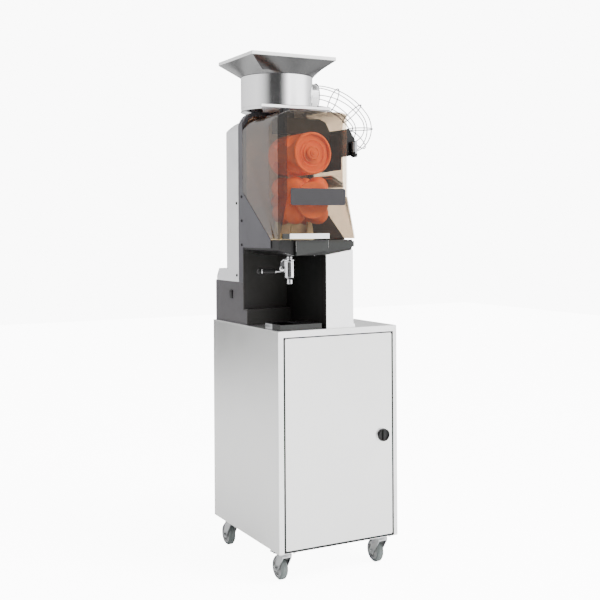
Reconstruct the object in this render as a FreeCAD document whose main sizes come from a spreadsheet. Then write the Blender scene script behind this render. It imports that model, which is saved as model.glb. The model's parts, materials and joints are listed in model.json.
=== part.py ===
"""Electric orange juicer on a wheeled stainless cabinet, in millimetres.

The front of the machine looks along -Y, +Z is up and the floor is Z = 0.
"""
import FreeCAD, Part
import math
import os
import Sketcher

Vec = FreeCAD.Vector

doc = FreeCAD.newDocument("OrangeJuicer")

# Driving dimensions, one word and one number each, grouped by piece.
DIMENSIONS = {
    # general
    "metal": 2, "overrun": 5, "run_gap": 0.05, "seat_gap": 0.3,
    # cabinet
    "cab_w": 460, "cab_d": 540, "cab_h": 730,
    "stile_left": 22, "stile_right": 18, "rail_top": 22, "rail_bottom": 5,
    "flange_d": 20, "stop_w": 8, "stop_gap": 1,
    # cabinet door
    "door_gap": 3, "door_t": 20, "door_corner": 6, "door_edge": 10,
    "hinge_inset": 4, "hinge_pin_r": 2, "hinge_pin_len": 14,
    # door knob
    "lock_x": 172, "lock_z": 462, "lock_r": 21.5, "lock_proud": 10, "lock_shaft_r": 6,
    "cam_len": 36, "cam_w": 14, "cam_t": 3, "grip_w": 8, "grip_depth": 5,
    # waste bin
    "bin_w": 300, "bin_h": 430, "bin_wall": 3, "bin_x": 10, "bin_front": 40, "bin_back": 120,
    "bin_rim": 8,
    # casters
    "cast_h": 108, "swivel_in": 42, "swivel_front": 44, "swivel_back": 70, "trail": 35,
    "wheel_r": 40, "tyre_w": 24, "tyre_t": 9, "tread_round": 5, "web_t": 8, "hub_r": 11,
    "fork_gap": 2.5, "fork_t": 3, "plate_side": 62, "plate_t": 4, "head_r": 24, "head_h": 13,
    "bridge_h": 6, "fork_front": 16, "fork_reach": 56, "fork_toe": 11, "axle_r": 5,
    "king_r": 6, "bolt_r": 4, "bolt_h": 5, "bolt_pitch": 23,
    "pedal_y": 50, "pedal_z": 86, "pedal_pin_r": 3, "pedal_len": 38, "pedal_w": 24, "pedal_t": 5,
    # machine body; it stands at machine_front from the cabinet's front edge
    "machine_front": 270,
    "body_left": -222, "body_w": 288, "body_back": 264, "chassis_front": 20, "chassis_back": 56,
    "wall": 3, "base_top": 987, "base_step": 889, "base_front": -10,
    "chassis_top": 1590, "arch_r": 58, "band": 16, "web": 12,
    "cheek_front": -200, "cheek_back_z": 1305, "cheek_front_z": 1139, "cheek_low": 1110,
    # rear cover
    "cover_back": 161, "foot_back": 253, "foot_low": 1003, "foot_high": 1031, "foot_top_y": 233,
    "rear_round_z": 1529, "rear_round_y": 90, "rear_top": 1562,
    # splash wall
    "splash_t": 6, "splash_low": 1116, "ledge_lap": 5,
    # serving bay
    "bay_right": -46, "liner_t": 5, "bay_top": 1108,
    # peel duct
    "duct_w": 106, "duct_front": -265, "duct_wall": 3, "duct_low_top": 1086, "duct_high_top": 1103,
    "peel_front": -225,
    "plinth_h": 12, "plinth_out": 6,
    # collector pan
    "pan_front": -255, "pan_top": 1137, "pan_low": 1085, "pan_mid": 1103, "pan_end": 1113,
    "pan_wall": 4, "boss_left": -160, "boss_front": -268, "outlet_r": 11, "pan_out": 4,
    "strainer_t": 2, "strainer_drop": 12, "sieve_hole": 7, "sieve_pitch": 14,
    # front cover
    "shield_t": 3, "shield_front": -268, "shield_top": 1568, "shield_low": 1141,
    "bevel_x": 29, "bevel_y": 78, "crease_z": 1283, "notch_w": 92, "port_low": 1428, "port_high": 1516,
    "handle_left": -216, "handle_right": -40, "handle_low": 1141, "handle_high": 1159,
    "handle_t": 6, "handle_stand": 12,
    "plate_left": -181, "plate_w": 210, "plate_low": 1253, "plate_h": 56, "plate_t2": 1.5,
    "plate_corner": 7, "catch_w": 26, "catch_d": 30, "catch_out": 4, "catch_x": -125,
    # tap
    "tap_x": -138, "tap_y": -178, "tap_r": 19, "tap_low": 1010, "tap_high": 1070, "tap_cap": 4,
    "spout_r": 11, "spout_low": 988, "spout_wall": 3, "slot_w": 9, "neck_r": 9,
    "lever_r": 5, "lever_len": 69, "grip_len": 55, "grip_r": 8, "knob_r": 10, "lever_z": 1030,
    "yoke_w": 16, "yoke_h": 42, "yoke_out": 12, "tap_turn": -38, "lever_bar_r": 3,
    # drip tray
    "tray_left": -219, "tray_w": 157, "tray_d": 112, "tray_h": 20, "tray_wall": 3,
    "grid_t": 3, "grid_slots": 9, "grid_slot_w": 6,
    # drums
    "drum_x": -79, "upper_z": 1429, "drum_gap": 158, "upper_r": 71.5, "core_r": 52,
    "ball_r": 38, "ball_at": 62, "cup_r": 48, "cup_at": 100, "drum_front": -235, "drum_back": -40,
    "row_front": -186, "row_pitch": 90, "disc_t": 10, "hub_ring_r": 24, "hub_ring_h": 7,
    "shaft_r": 12, "bearing_r": 26, "bearing_t": 8, "gear_teeth": 40, "pinion_teeth": 12,
    "gear_module": 3.95, "gear_t": 12, "gear_y": 70, "gear_play": 0.35, "pinion_angle": -60,
    "gear_hub_r": 24, "hub_step": 5,
    "motor_r": 42, "motor_len": 62, "gearbox_t": 12, "pinion_shaft_r": 8,
    # knife, ejectors and infeed
    "knife_in": 77, "knife_right": 46, "knife_high": 1356, "knife_low": 1329, "knife_t": 3,
    "knife_front": -230, "comb_y": -147, "comb_t": 12, "comb_high": 1198, "comb_pitch": 62,
    "comb_w": 30, "comb_bar": 16, "comb_aside": 25,
    "infeed_front": -108, "infeed_back": 10, "infeed_top": 1519, "infeed_low": 1425,
    "lip_out": 258, "lip_low": 1437, "lip_high": 1495, "mouth_out": 233, "mouth_z": 1532,
    "latch_r": 12, "latch_h": 12, "latch_out": 246, "latch_y": -121, "latch_z": 1432, "latch_pin_r": 4,
    "latch_pin_top": 1470, "barrel_r": 11, "barrel_low": 1446, "barrel_high": 1485,
    "ramp_in": 83, "ramp_right": 60, "ramp_low": 1408, "ramp_high": 1424, "guide_t": 4,
    "rest_left": 30, "rest_low": 1376, "rail_left": -24, "rail_right": 44, "rail_low": 1511,
    "rail_high": 1546,
    "hood_left": -118, "hood_low": 1507, "hood_high": 1560, "hood_in": 75, "hood_knee": 1462,
    "hood_bend": 20, "hood_side": 1520,
    # feeder
    "deck_left": -218, "deck_right": 52, "deck_front": -130, "deck_t": 12,
    "hopper_x": -93, "hopper_y": 4, "feeder_r": 128, "bowl_foot": 5, "bowl_rim": 15,
    "rim_w": 326, "rim_d": 287, "funnel_h": 54, "rim_lip": 12,
    "disc_r": 123, "disc_h": 10, "disc_lift": 5, "pocket_r": 46, "pocket_at": 70, "cone_h": 40,
    "feeder_motor_w": 66, "feeder_motor_h": 76, "feeder_motor_in": 13, "feeder_shaft_r": 8,
    "feeder_shaft_in": 20,
    # wire chute
    "chute_turn": -10, "chute_arc_r": 205, "chute_fold": 37, "curl_r": 52, "chute_r": 42, "wire_r": 2,
    "outlet_len": 16, "outlet_wall": 3, "wire_count": 6,
    # electrics and fasteners
    "switch_z": 940, "switch_y": 120, "switch_w": 22, "switch_h": 30, "switch_t": 5, "rocker_gap": 0.6,
    "inlet_z": 905, "inlet_x": -150, "inlet_w": 50, "inlet_h": 32, "inlet_d": 8, "socket_depth": 6,
    "screw_r": 5, "screw_h": 3, "screw_y": 28, "screw_z": 1119, "screw_pitch": 85,
    "rear_screw_y": 70, "rear_screw_z": 1010, "rear_screw_pitch": 257,
}

sheet = doc.addObject("Spreadsheet::Sheet", "Dims")
for row, (alias, number) in enumerate(DIMENSIONS.items(), start=1):
    sheet.set("A%d" % row, alias)
    sheet.set("B%d" % row, str(number))
    sheet.setAlias("B%d" % row, alias)
doc.recompute()


class Size:
    """A length with its value and the sheet formula that gives it."""

    def __init__(self, value, formula=None):
        self.value = float(value)
        self.formula = formula or repr(self.value)

    def _join(self, other, sign, value):
        return Size(value, "(%s %s %s)" % (self.formula, sign, size(other).formula))

    def __add__(self, other):
        return self._join(other, "+", self.value + float(other))

    def __sub__(self, other):
        return self._join(other, "-", self.value - float(other))

    def __mul__(self, other):
        return self._join(other, "*", self.value * float(other))

    def __truediv__(self, other):
        return self._join(other, "/", self.value / float(other))

    def __radd__(self, other):
        return size(other) + self

    def __rsub__(self, other):
        return size(other) - self

    def __rmul__(self, other):
        return size(other) * self

    def __neg__(self):
        return size(0) - self

    def __float__(self):
        return self.value


def size(value):
    """Turn a plain number into a Size."""
    return value if isinstance(value, Size) else Size(value)


class Table:
    """The spreadsheet's cells by alias, as Sizes."""

    def __getattr__(self, alias):
        return Size(sheet.get(alias), "Dims." + alias)


s = Table()
AXES = {"X": Vec(1, 0, 0), "Y": Vec(0, 1, 0), "Z": Vec(0, 0, 1)}
STAND = {
    "X": FreeCAD.Rotation(Vec(0, 1, 0), 90),
    "Y": FreeCAD.Rotation(Vec(1, 0, 0), -90),
    "Z": FreeCAD.Rotation(),
}
nodes = []
used = {}


def fresh(stem):
    """A document name that no other object has."""
    used[stem] = used.get(stem, 0) + 1
    return "%s_%d" % (stem, used[stem])


def bind(thing, prop, length):
    """Tie a property to the sheet."""
    thing.setExpression(prop, size(length).formula)


def place(thing, x, y, z):
    """Tie an object's place to the sheet."""
    bind(thing, "Placement.Base.x", x)
    bind(thing, "Placement.Base.y", y)
    bind(thing, "Placement.Base.z", z)


def block(x, y, z):
    """A box between low and high values on each axis."""
    box = doc.addObject("Part::Box", fresh("Block"))
    bind(box, "Length", x[1] - x[0])
    bind(box, "Width", y[1] - y[0])
    bind(box, "Height", z[1] - z[0])
    place(box, x[0], y[0], z[0])
    return box


def standing(kind, axis, centre, span):
    """A round primitive along an axis; centre holds the two other coordinates."""
    thing = doc.addObject(kind, fresh("Round"))
    bind(thing, "Height", span[1] - span[0])
    thing.Placement.Rotation = STAND[axis]
    spots = list(centre)
    spots.insert("XYZ".index(axis), span[0])
    place(thing, *spots)
    return thing


def rod(axis, centre, radius, span):
    """A cylinder along X, Y or Z."""
    cylinder = standing("Part::Cylinder", axis, centre, span)
    bind(cylinder, "Radius", radius)
    return cylinder


def taper(axis, centre, radii, span):
    """A cone along X, Y or Z."""
    cone = standing("Part::Cone", axis, centre, span)
    bind(cone, "Radius1", radii[0])
    bind(cone, "Radius2", radii[1])
    return cone


def ball(centre, radius):
    """A sphere."""
    sphere = doc.addObject("Part::Sphere", fresh("Ball"))
    bind(sphere, "Radius", radius)
    place(sphere, *centre)
    return sphere


def fuse(*things):
    """Several objects as one solid."""
    joined = doc.addObject("Part::MultiFuse", fresh("Fuse"))
    joined.Shapes = list(things)
    joined.Refine = True
    return joined


def cut(base, *tools):
    """A solid less its tools."""
    piece = doc.addObject("Part::Cut", fresh("Cut"))
    piece.Base = base
    piece.Tool = tools[0] if len(tools) == 1 else fuse(*tools)
    piece.Refine = True
    return piece


def common(first, second):
    """What two solids share."""
    piece = doc.addObject("Part::Common", fresh("Common"))
    piece.Base = first
    piece.Tool = second
    return piece


def group(*things):
    """Separate solids in one node."""
    bundle = doc.addObject("Part::Compound", fresh("Group"))
    bundle.Links = list(things)
    return bundle


def plane_of(body, role):
    """One of a body's own origin planes."""
    for feature in body.Origin.OriginFeatures:
        if feature.Role == role:
            return feature
    raise RuntimeError("no plane " + role)


def sketch_on(body, plane, shift):
    """A sketch on a body's plane, moved by shift in the sketch's own axes."""
    drawing = body.newObject("Sketcher::SketchObject", fresh("Sketch"))
    drawing.AttachmentSupport = [(plane_of(body, plane + "_Plane"), "")]
    drawing.MapMode = "FlatFace"
    for letter, length in zip("xyz", shift):
        bind(drawing, "AttachmentOffset.Base." + letter, length)
    return drawing


def draw_outline(drawing, points):
    """A closed outline whose corners are tied to the sheet."""
    spots = [Vec(float(u), float(v), 0) for u, v in points]
    first = drawing.GeometryCount
    count = len(spots)
    for index, spot in enumerate(spots):
        drawing.addGeometry(Part.LineSegment(spot, spots[(index + 1) % count]), False)
    for index in range(count):
        follower = first + (index + 1) % count
        drawing.addConstraint(Sketcher.Constraint("Coincident", first + index, 2, follower, 1))
    for index, (u, v) in enumerate(points):
        for kind, length in (("DistanceX", u), ("DistanceY", v)):
            rule = Sketcher.Constraint(kind, -1, 1, first + index, 1, float(length))
            number = drawing.addConstraint(rule)
            drawing.setExpression("Constraints[%d]" % number, size(length).formula)


def draw_circle(drawing, u, v, radius):
    """A circle tied to the sheet."""
    centre = Vec(float(u), float(v), 0)
    item = drawing.addGeometry(Part.Circle(centre, Vec(0, 0, 1), float(radius)), False)
    rules = (
        (Sketcher.Constraint("DistanceX", -1, 1, item, 3, float(u)), u),
        (Sketcher.Constraint("DistanceY", -1, 1, item, 3, float(v)), v),
        (Sketcher.Constraint("Radius", item, float(radius)), radius),
    )
    for rule, length in rules:
        number = drawing.addConstraint(rule)
        drawing.setExpression("Constraints[%d]" % number, size(length).formula)


def prism(plane, span, outline, holes=(), circles=()):
    """A body padded from an outline between two levels of the plane's normal."""
    body = doc.addObject("PartDesign::Body", fresh("Body"))
    level = -size(span[0]) if plane == "XZ" else size(span[0])
    drawing = sketch_on(body, plane, (0, 0, level))
    draw_outline(drawing, outline)
    for hole in holes:
        draw_outline(drawing, hole)
    for u, v, radius in circles:
        draw_circle(drawing, u, v, radius)
    pad = body.newObject("PartDesign::Pad", fresh("Pad"))
    pad.Profile = drawing
    pad.Reversed = plane == "XZ"
    bind(pad, "Length", size(span[1]) - span[0])
    doc.recompute()
    return body


def rounded(body, radius, corners):
    """Round the edges of a prism that stand on the given corners of its outline."""
    drawing = body.Group[0]
    normal = {"XY": "Z", "XZ": "Y", "YZ": "X"}[drawing.AttachmentSupport[0][0].Role[:2]]
    names = []
    for index, edge in enumerate(body.Tip.Shape.Edges, start=1):
        if len(edge.Vertexes) != 2:
            continue
        start, end = (vertex.Point for vertex in edge.Vertexes)
        if abs((end - start).normalize().dot(AXES[normal])) < 0.999:
            continue
        spot = [value for letter, value in zip("XYZ", start) if letter != normal]
        for u, v in corners:
            if abs(spot[0] - float(u)) + abs(spot[1] - float(v)) < 0.01:
                names.append("Edge%d" % index)
    if len(names) != len(corners):
        raise RuntimeError("%s: %d of %d corners" % (body.Name, len(names), len(corners)))
    fillet = body.newObject("PartDesign::Fillet", fresh("Fillet"))
    fillet.Base = (fillet.BaseFeature or body.Tip, names)
    bind(fillet, "Radius", radius)
    doc.recompute()
    return body


def turned(axis, centre, profile):
    """A body turned about X, Y or Z; profile is a list of (radius, place along the axis)."""
    body = doc.addObject("PartDesign::Body", fresh("Body"))
    if axis == "Z":
        drawing = sketch_on(body, "XZ", (centre[0], 0, -size(centre[1])))
    elif axis == "Y":
        drawing = sketch_on(body, "XY", (centre[0], 0, centre[1]))
    else:
        drawing = sketch_on(body, "XY", (0, centre[0], centre[1]))
    points = [(t, r) for r, t in profile] if axis == "X" else profile
    draw_outline(drawing, points)
    spin = body.newObject("PartDesign::Revolution", fresh("Revolution"))
    spin.Profile = drawing
    spin.ReferenceAxis = (drawing, ["H_Axis" if axis == "X" else "V_Axis"])
    spin.Angle = 360
    doc.recompute()
    return body


def shaped(shape):
    """A feature whose shape is worked out in code."""
    feature = doc.addObject("Part::Feature", fresh("Shape"))
    feature.Shape = shape
    return feature


def keep(label, thing, place_at=(0, 0), turn=None):
    """Name a sub-part and put it in the part's frame."""
    if thing.isDerivedFrom("Part::Primitive"):
        thing = group(thing)
    thing.Label = label
    if turn is not None:
        thing.Placement.Rotation = FreeCAD.Rotation(AXES["Z"], float(turn))
        bind(thing, "Placement.Rotation.Angle", turn)
    bind(thing, "Placement.Base.x", shift_x + place_at[0])
    bind(thing, "Placement.Base.y", shift_y + place_at[1])
    nodes.append(thing)
    return thing


def mount(label, thing, place_at=(0, 0), turn=None):
    """Name a sub-part of the machine, which stands at its place from the cabinet's front."""
    return keep(label, thing, (place_at[0], place_at[1] + machine_y), turn)


def cosine(angle):
    """The cosine of a sheet angle in degrees."""
    return Size(math.cos(math.radians(float(angle))), "cos(%s * 1 deg)" % angle.formula)


def sine(angle):
    """The sine of a sheet angle in degrees."""
    return Size(math.sin(math.radians(float(angle))), "sin(%s * 1 deg)" % angle.formula)


def inset(span, amount):
    """A span drawn in at both ends."""
    return (span[0] + amount, span[1] - amount)


def square(u, v):
    """The four corners of a rectangle between two spans."""
    return [(u[0], v[0]), (u[1], v[0]), (u[1], v[1]), (u[0], v[1])]


def across(x):
    """A place across the machine that keeps its share of the body's width.

    The places are stated for a body that ends where the peel duct and its plinth end.
    """
    stated_w = s.bay_right + s.duct_w + s.plinth_out - s.body_left
    return s.body_left + (x - s.body_left) * (s.body_w / stated_w)


drum_x = across(s.drum_x)
hopper_x = across(s.hopper_x)
tap_x = across(s.tap_x)

# The origin lies under the middle of the whole object's box, on the floor.
ring_r = s.chute_r + s.wire_r * 2 + s.run_gap
chute_start = s.feeder_r + s.outlet_len
curl_x = chute_start + (s.chute_arc_r - s.curl_r) * cosine(s.chute_fold)
chute_outer = (curl_x + s.curl_r) * cosine(s.chute_turn) + ring_r + s.wire_r
shift_x = -(hopper_x - s.rim_w / 2 + hopper_x + chute_outer) / 2
shift_y = (s.lock_proud + s.swivel_back - s.trail - s.wheel_r) / 2

# Levels and edges that several pieces share.
cab_x = (-s.cab_w / 2, s.cab_w / 2)
cab_y = (-s.cab_d / 2, s.cab_d / 2)
cab_top = s.cast_h + s.cab_h
deck = cab_top
machine_y = cab_y[0] + s.machine_front
left = s.body_left
right = s.body_left + s.body_w
skin_top = cab_top - s.metal
duct_x = (across(s.bay_right), across(s.bay_right + s.duct_w))
lower_z = s.upper_z - s.drum_gap
web_y = (s.chassis_back - s.web, s.chassis_back)
splash_y = (web_y[0] - s.splash_t, web_y[0])
pan_back = s.chassis_front - s.liner_t - s.seat_gap
inner_x = (left + s.wall + s.seat_gap, right - s.wall - s.seat_gap)
deck_z = (s.chassis_top, s.chassis_top + s.deck_t)
outlet_z = deck_z[1] + s.bowl_foot + s.chute_r + s.outlet_wall
bowl_top = outlet_z + s.chute_r + s.outlet_wall + s.bowl_rim
rim_z = bowl_top + s.funnel_h
chute_z = outlet_z - s.chute_arc_r
curl_z = chute_z + (s.chute_arc_r - s.curl_r) * sine(s.chute_fold)
arch = [(left, s.base_top), (right, s.base_top), (right, s.chassis_top), (left, s.chassis_top)]


def cabinet():
    """Shell, worktop, front frame, door with its knob and pins, and the waste bin."""
    inner_y = (cab_y[0] + s.metal, cab_y[1])
    shell = cut(
        block(cab_x, inner_y, (s.cast_h, skin_top)),
        block(inset(cab_x, s.metal), (inner_y[0] - s.overrun, inner_y[1] - s.metal),
              (s.cast_h + s.metal, skin_top + s.overrun)))
    keep("cabinet_shell", shell)

    peel_y = (machine_y + s.peel_front, machine_y + s.base_front - s.duct_wall)
    peel_hole = block(inset(duct_x, s.duct_wall), peel_y,
                      (skin_top - s.overrun, cab_top + s.overrun))
    keep("cabinet_top", cut(block(cab_x, cab_y, (skin_top, cab_top)), peel_hole))

    hole_x = (cab_x[0] + s.stile_left, cab_x[1] - s.stile_right)
    hole_z = (s.cast_h + s.rail_bottom, cab_top - s.rail_top)
    flange_y = (cab_y[0] + s.metal, cab_y[0] + s.flange_d)
    face = prism("XZ", (cab_y[0], flange_y[0]), square(cab_x, (s.cast_h, skin_top)),
                 holes=[square(hole_x, hole_z)])
    ring_z = (hole_z[0] - s.metal, hole_z[1] + s.metal)
    flange = prism("XZ", flange_y, square(inset(hole_x, -s.metal), ring_z),
                   holes=[square(hole_x, hole_z)])
    stop_y = (cab_y[0] + s.door_t + s.stop_gap, cab_y[0] + s.door_t + s.stop_gap + s.metal)
    stop = prism("XZ", stop_y, square(inset(hole_x, -s.metal), ring_z),
                 holes=[square(inset(hole_x, s.stop_w), inset(hole_z, s.stop_w))])
    door_x = inset(hole_x, s.door_gap)
    door_z = inset(hole_z, s.door_gap)
    axis = (door_x[0] + s.hinge_inset, cab_y[0] + s.hinge_inset)
    pin_low = (ring_z[0], door_z[0] + s.hinge_pin_len)
    pin_high = (door_z[1] - s.hinge_pin_len, ring_z[1])
    seats = [rod("Z", axis, s.hinge_pin_r, (ring_z[0] - s.overrun, hole_z[0] + s.overrun)),
             rod("Z", axis, s.hinge_pin_r, (hole_z[1] - s.overrun, ring_z[1] + s.overrun))]
    frame = cut(fuse(face, flange, prism("XZ", (flange_y[1], stop_y[0]),
                square(inset(hole_x, -s.metal), ring_z), holes=[square(hole_x, hole_z)]), stop), *seats)
    keep("front_frame", frame)

    outline = square(door_x, door_z)
    panel = rounded(prism("XZ", (cab_y[0], cab_y[0] + s.door_t), outline), s.door_corner, outline)
    back = (cab_y[0] + s.metal, cab_y[0] + s.door_t + s.overrun)
    hollow = block((door_x[0] + s.door_edge, door_x[1] - s.metal * 2), back,
                   inset(door_z, s.hinge_pin_len + s.metal * 2))
    bore = s.hinge_pin_r + s.run_gap
    bores = [rod("Z", axis, bore, (door_z[0] - s.overrun, pin_low[1] + s.metal)),
             rod("Z", axis, bore, (pin_high[0] - s.metal, door_z[1] + s.overrun))]
    spindle = rod("Y", (s.lock_x, s.lock_z), s.lock_shaft_r + s.run_gap,
                  (cab_y[0] - s.overrun, cab_y[0] + s.door_t))
    keep("cabinet_door", cut(panel, hollow, spindle, *bores))
    pins = [rod("Z", axis, s.hinge_pin_r, pin_low), rod("Z", axis, s.hinge_pin_r, pin_high)]
    keep("hinge_pins", group(*pins))

    face_y = cab_y[0] - s.seat_gap
    spot = (s.lock_x, s.lock_z)
    knob = rod("Y", spot, s.lock_r, (cab_y[0] - s.lock_proud, face_y))
    dish_y = (cab_y[0] - s.lock_proud - s.overrun, cab_y[0] - s.lock_proud + s.grip_depth)
    dish_z = (s.lock_z - s.lock_r, s.lock_z + s.lock_r)
    sides = ((s.lock_x - s.lock_r, s.lock_x - s.grip_w / 2), (s.lock_x + s.grip_w / 2, s.lock_x + s.lock_r))
    recess = [common(rod("Y", spot, s.lock_r - s.metal, dish_y), block(side, dish_y, dish_z))
              for side in sides]
    cam_y = (stop_y[1] + s.seat_gap, stop_y[1] + s.seat_gap + s.cam_t)
    shaft = rod("Y", spot, s.lock_shaft_r, (face_y - s.metal, cam_y[1]))
    cam_x = (s.lock_x - s.cam_w / 2, s.lock_x + s.cam_w / 2)
    cam = block(cam_x, cam_y, (s.lock_z - s.cam_w / 2, s.lock_z + s.cam_len))
    keep("lock_knob", fuse(cut(knob, *recess), shaft, cam))

    bin_x = (s.bin_x - s.bin_w / 2, s.bin_x + s.bin_w / 2)
    bin_y = (cab_y[0] + s.bin_front, cab_y[1] - s.bin_back)
    bin_z = (s.cast_h + s.metal, s.cast_h + s.metal + s.bin_h)
    rim = block(inset(bin_x, -s.bin_rim), inset(bin_y, -s.bin_rim), (bin_z[1] - s.bin_wall, bin_z[1]))
    tub = cut(fuse(block(bin_x, bin_y, bin_z), rim),
              block(inset(bin_x, s.bin_wall), inset(bin_y, s.bin_wall),
                    (bin_z[0] + s.bin_wall, bin_z[1] + s.overrun)))
    keep("waste_bin", tub)


def casters():
    """Four swivel casters; the two at the front have a brake pedal."""
    plate_z = (s.cast_h - s.plate_t, s.cast_h)
    half = s.plate_side / 2
    plates = []
    places = {
        "front_left": (cab_x[0] + s.swivel_in, cab_y[0] + s.swivel_front),
        "front_right": (cab_x[1] - s.swivel_in, cab_y[0] + s.swivel_front),
        "back_left": (cab_x[0] + s.swivel_in, cab_y[1] - s.swivel_back),
        "back_right": (cab_x[1] - s.swivel_in, cab_y[1] - s.swivel_back),
    }
    for corner, (x, y) in places.items():
        pad = block((x - half, x + half), (y - half, y + half), plate_z)
        king = rod("Z", (x, y), s.king_r + s.run_gap, inset(plate_z, -s.overrun))
        plates.append(cut(pad, king))
        for side in (-1, 1):
            for end in (-1, 1):
                spot = (x + side * s.bolt_pitch, y + end * s.bolt_pitch)
                plates.append(rod("Z", spot, s.bolt_r, (plate_z[0] - s.bolt_h, plate_z[0])))
        fork(corner, x, y, plate_z[0])
    keep("caster_plates", group(*plates))


def fork(corner, x, y, under):
    """The swivelling part of one caster with its wheel."""
    braked = corner.startswith("front")
    head_z = (under - s.seat_gap - s.head_h, under - s.seat_gap)
    bridge_z = (head_z[0] - s.bridge_h, head_z[0])
    inner = s.tyre_w / 2 + s.fork_gap
    outer = inner + s.fork_t
    hub_y = y + s.trail
    hub_z = s.wheel_r
    side = [(y - s.fork_front, bridge_z[1]), (y + s.fork_reach, bridge_z[1]),
            (y + s.fork_reach, s.wheel_r * 2), (hub_y + s.fork_toe, hub_z - s.fork_toe),
            (hub_y - s.fork_toe, hub_z - s.fork_toe), (y - s.fork_front, bridge_z[0])]
    holes = [(hub_y, hub_z, s.axle_r)]
    if braked:
        holes.append((y + s.pedal_y, s.pedal_z, s.pedal_pin_r + s.run_gap))
    legs = [prism("YZ", span, side, circles=holes)
            for span in ((x - outer, x - inner), (x + inner, x + outer))]
    head = taper("Z", (x, y), (s.head_r, s.head_r - s.bridge_h), head_z)
    king = rod("Z", (x, y), s.king_r, (head_z[0], s.cast_h - s.metal / 2))
    bridge = block((x - outer, x + outer), (y - s.fork_front, hub_y), bridge_z)
    axle = rod("X", (hub_y, hub_z), s.axle_r, (x - outer - s.fork_t, x + outer + s.fork_t))
    keep("caster_fork_" + corner, group(fuse(head, king, bridge, *legs), axle))

    rim_r = s.wheel_r - s.tyre_t
    bore = s.axle_r + s.run_gap
    hub_half = inner - s.seat_gap
    core = turned("X", (hub_y, hub_z), [
        (bore, x - hub_half), (s.hub_r, x - hub_half), (s.hub_r, x - s.web_t / 2),
        (rim_r - s.bolt_h, x - s.web_t / 2), (rim_r - s.bolt_h, x - s.tyre_w / 2 + s.metal),
        (rim_r, x - s.tyre_w / 2 + s.metal), (rim_r, x + s.tyre_w / 2 - s.metal),
        (rim_r - s.bolt_h, x + s.tyre_w / 2 - s.metal), (rim_r - s.bolt_h, x + s.web_t / 2),
        (s.hub_r, x + s.web_t / 2), (s.hub_r, x + hub_half), (bore, x + hub_half)])
    keep("caster_wheel_" + corner, core)
    tyre = turned("X", (hub_y, hub_z), [
        (rim_r, x - s.tyre_w / 2), (s.wheel_r - s.tread_round, x - s.tyre_w / 2),
        (s.wheel_r, x - s.tyre_w / 2 + s.tread_round), (s.wheel_r, x + s.tyre_w / 2 - s.tread_round),
        (s.wheel_r - s.tread_round, x + s.tyre_w / 2), (rim_r, x + s.tyre_w / 2)])
    keep("caster_tyre_" + corner, tyre)
    if braked:
        pivot_y = y + s.pedal_y
        pivot_z = s.pedal_z
        nose = s.pedal_pin_r * 2
        lever = prism("YZ", (x - s.pedal_w / 2, x + s.pedal_w / 2), [
            (pivot_y - nose, pivot_z + s.pedal_pin_r), (pivot_y + nose, pivot_z + nose),
            (pivot_y + s.pedal_len, pivot_z - s.metal),
            (pivot_y + s.pedal_len, pivot_z - s.metal - s.pedal_t),
            (pivot_y + nose, pivot_z - s.pedal_pin_r), (pivot_y - nose, pivot_z - s.pedal_pin_r)])
        pin = rod("X", (pivot_y, pivot_z), s.pedal_pin_r, (x - outer, x + outer))
        keep("brake_pedal_" + corner, fuse(lever, pin))


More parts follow.
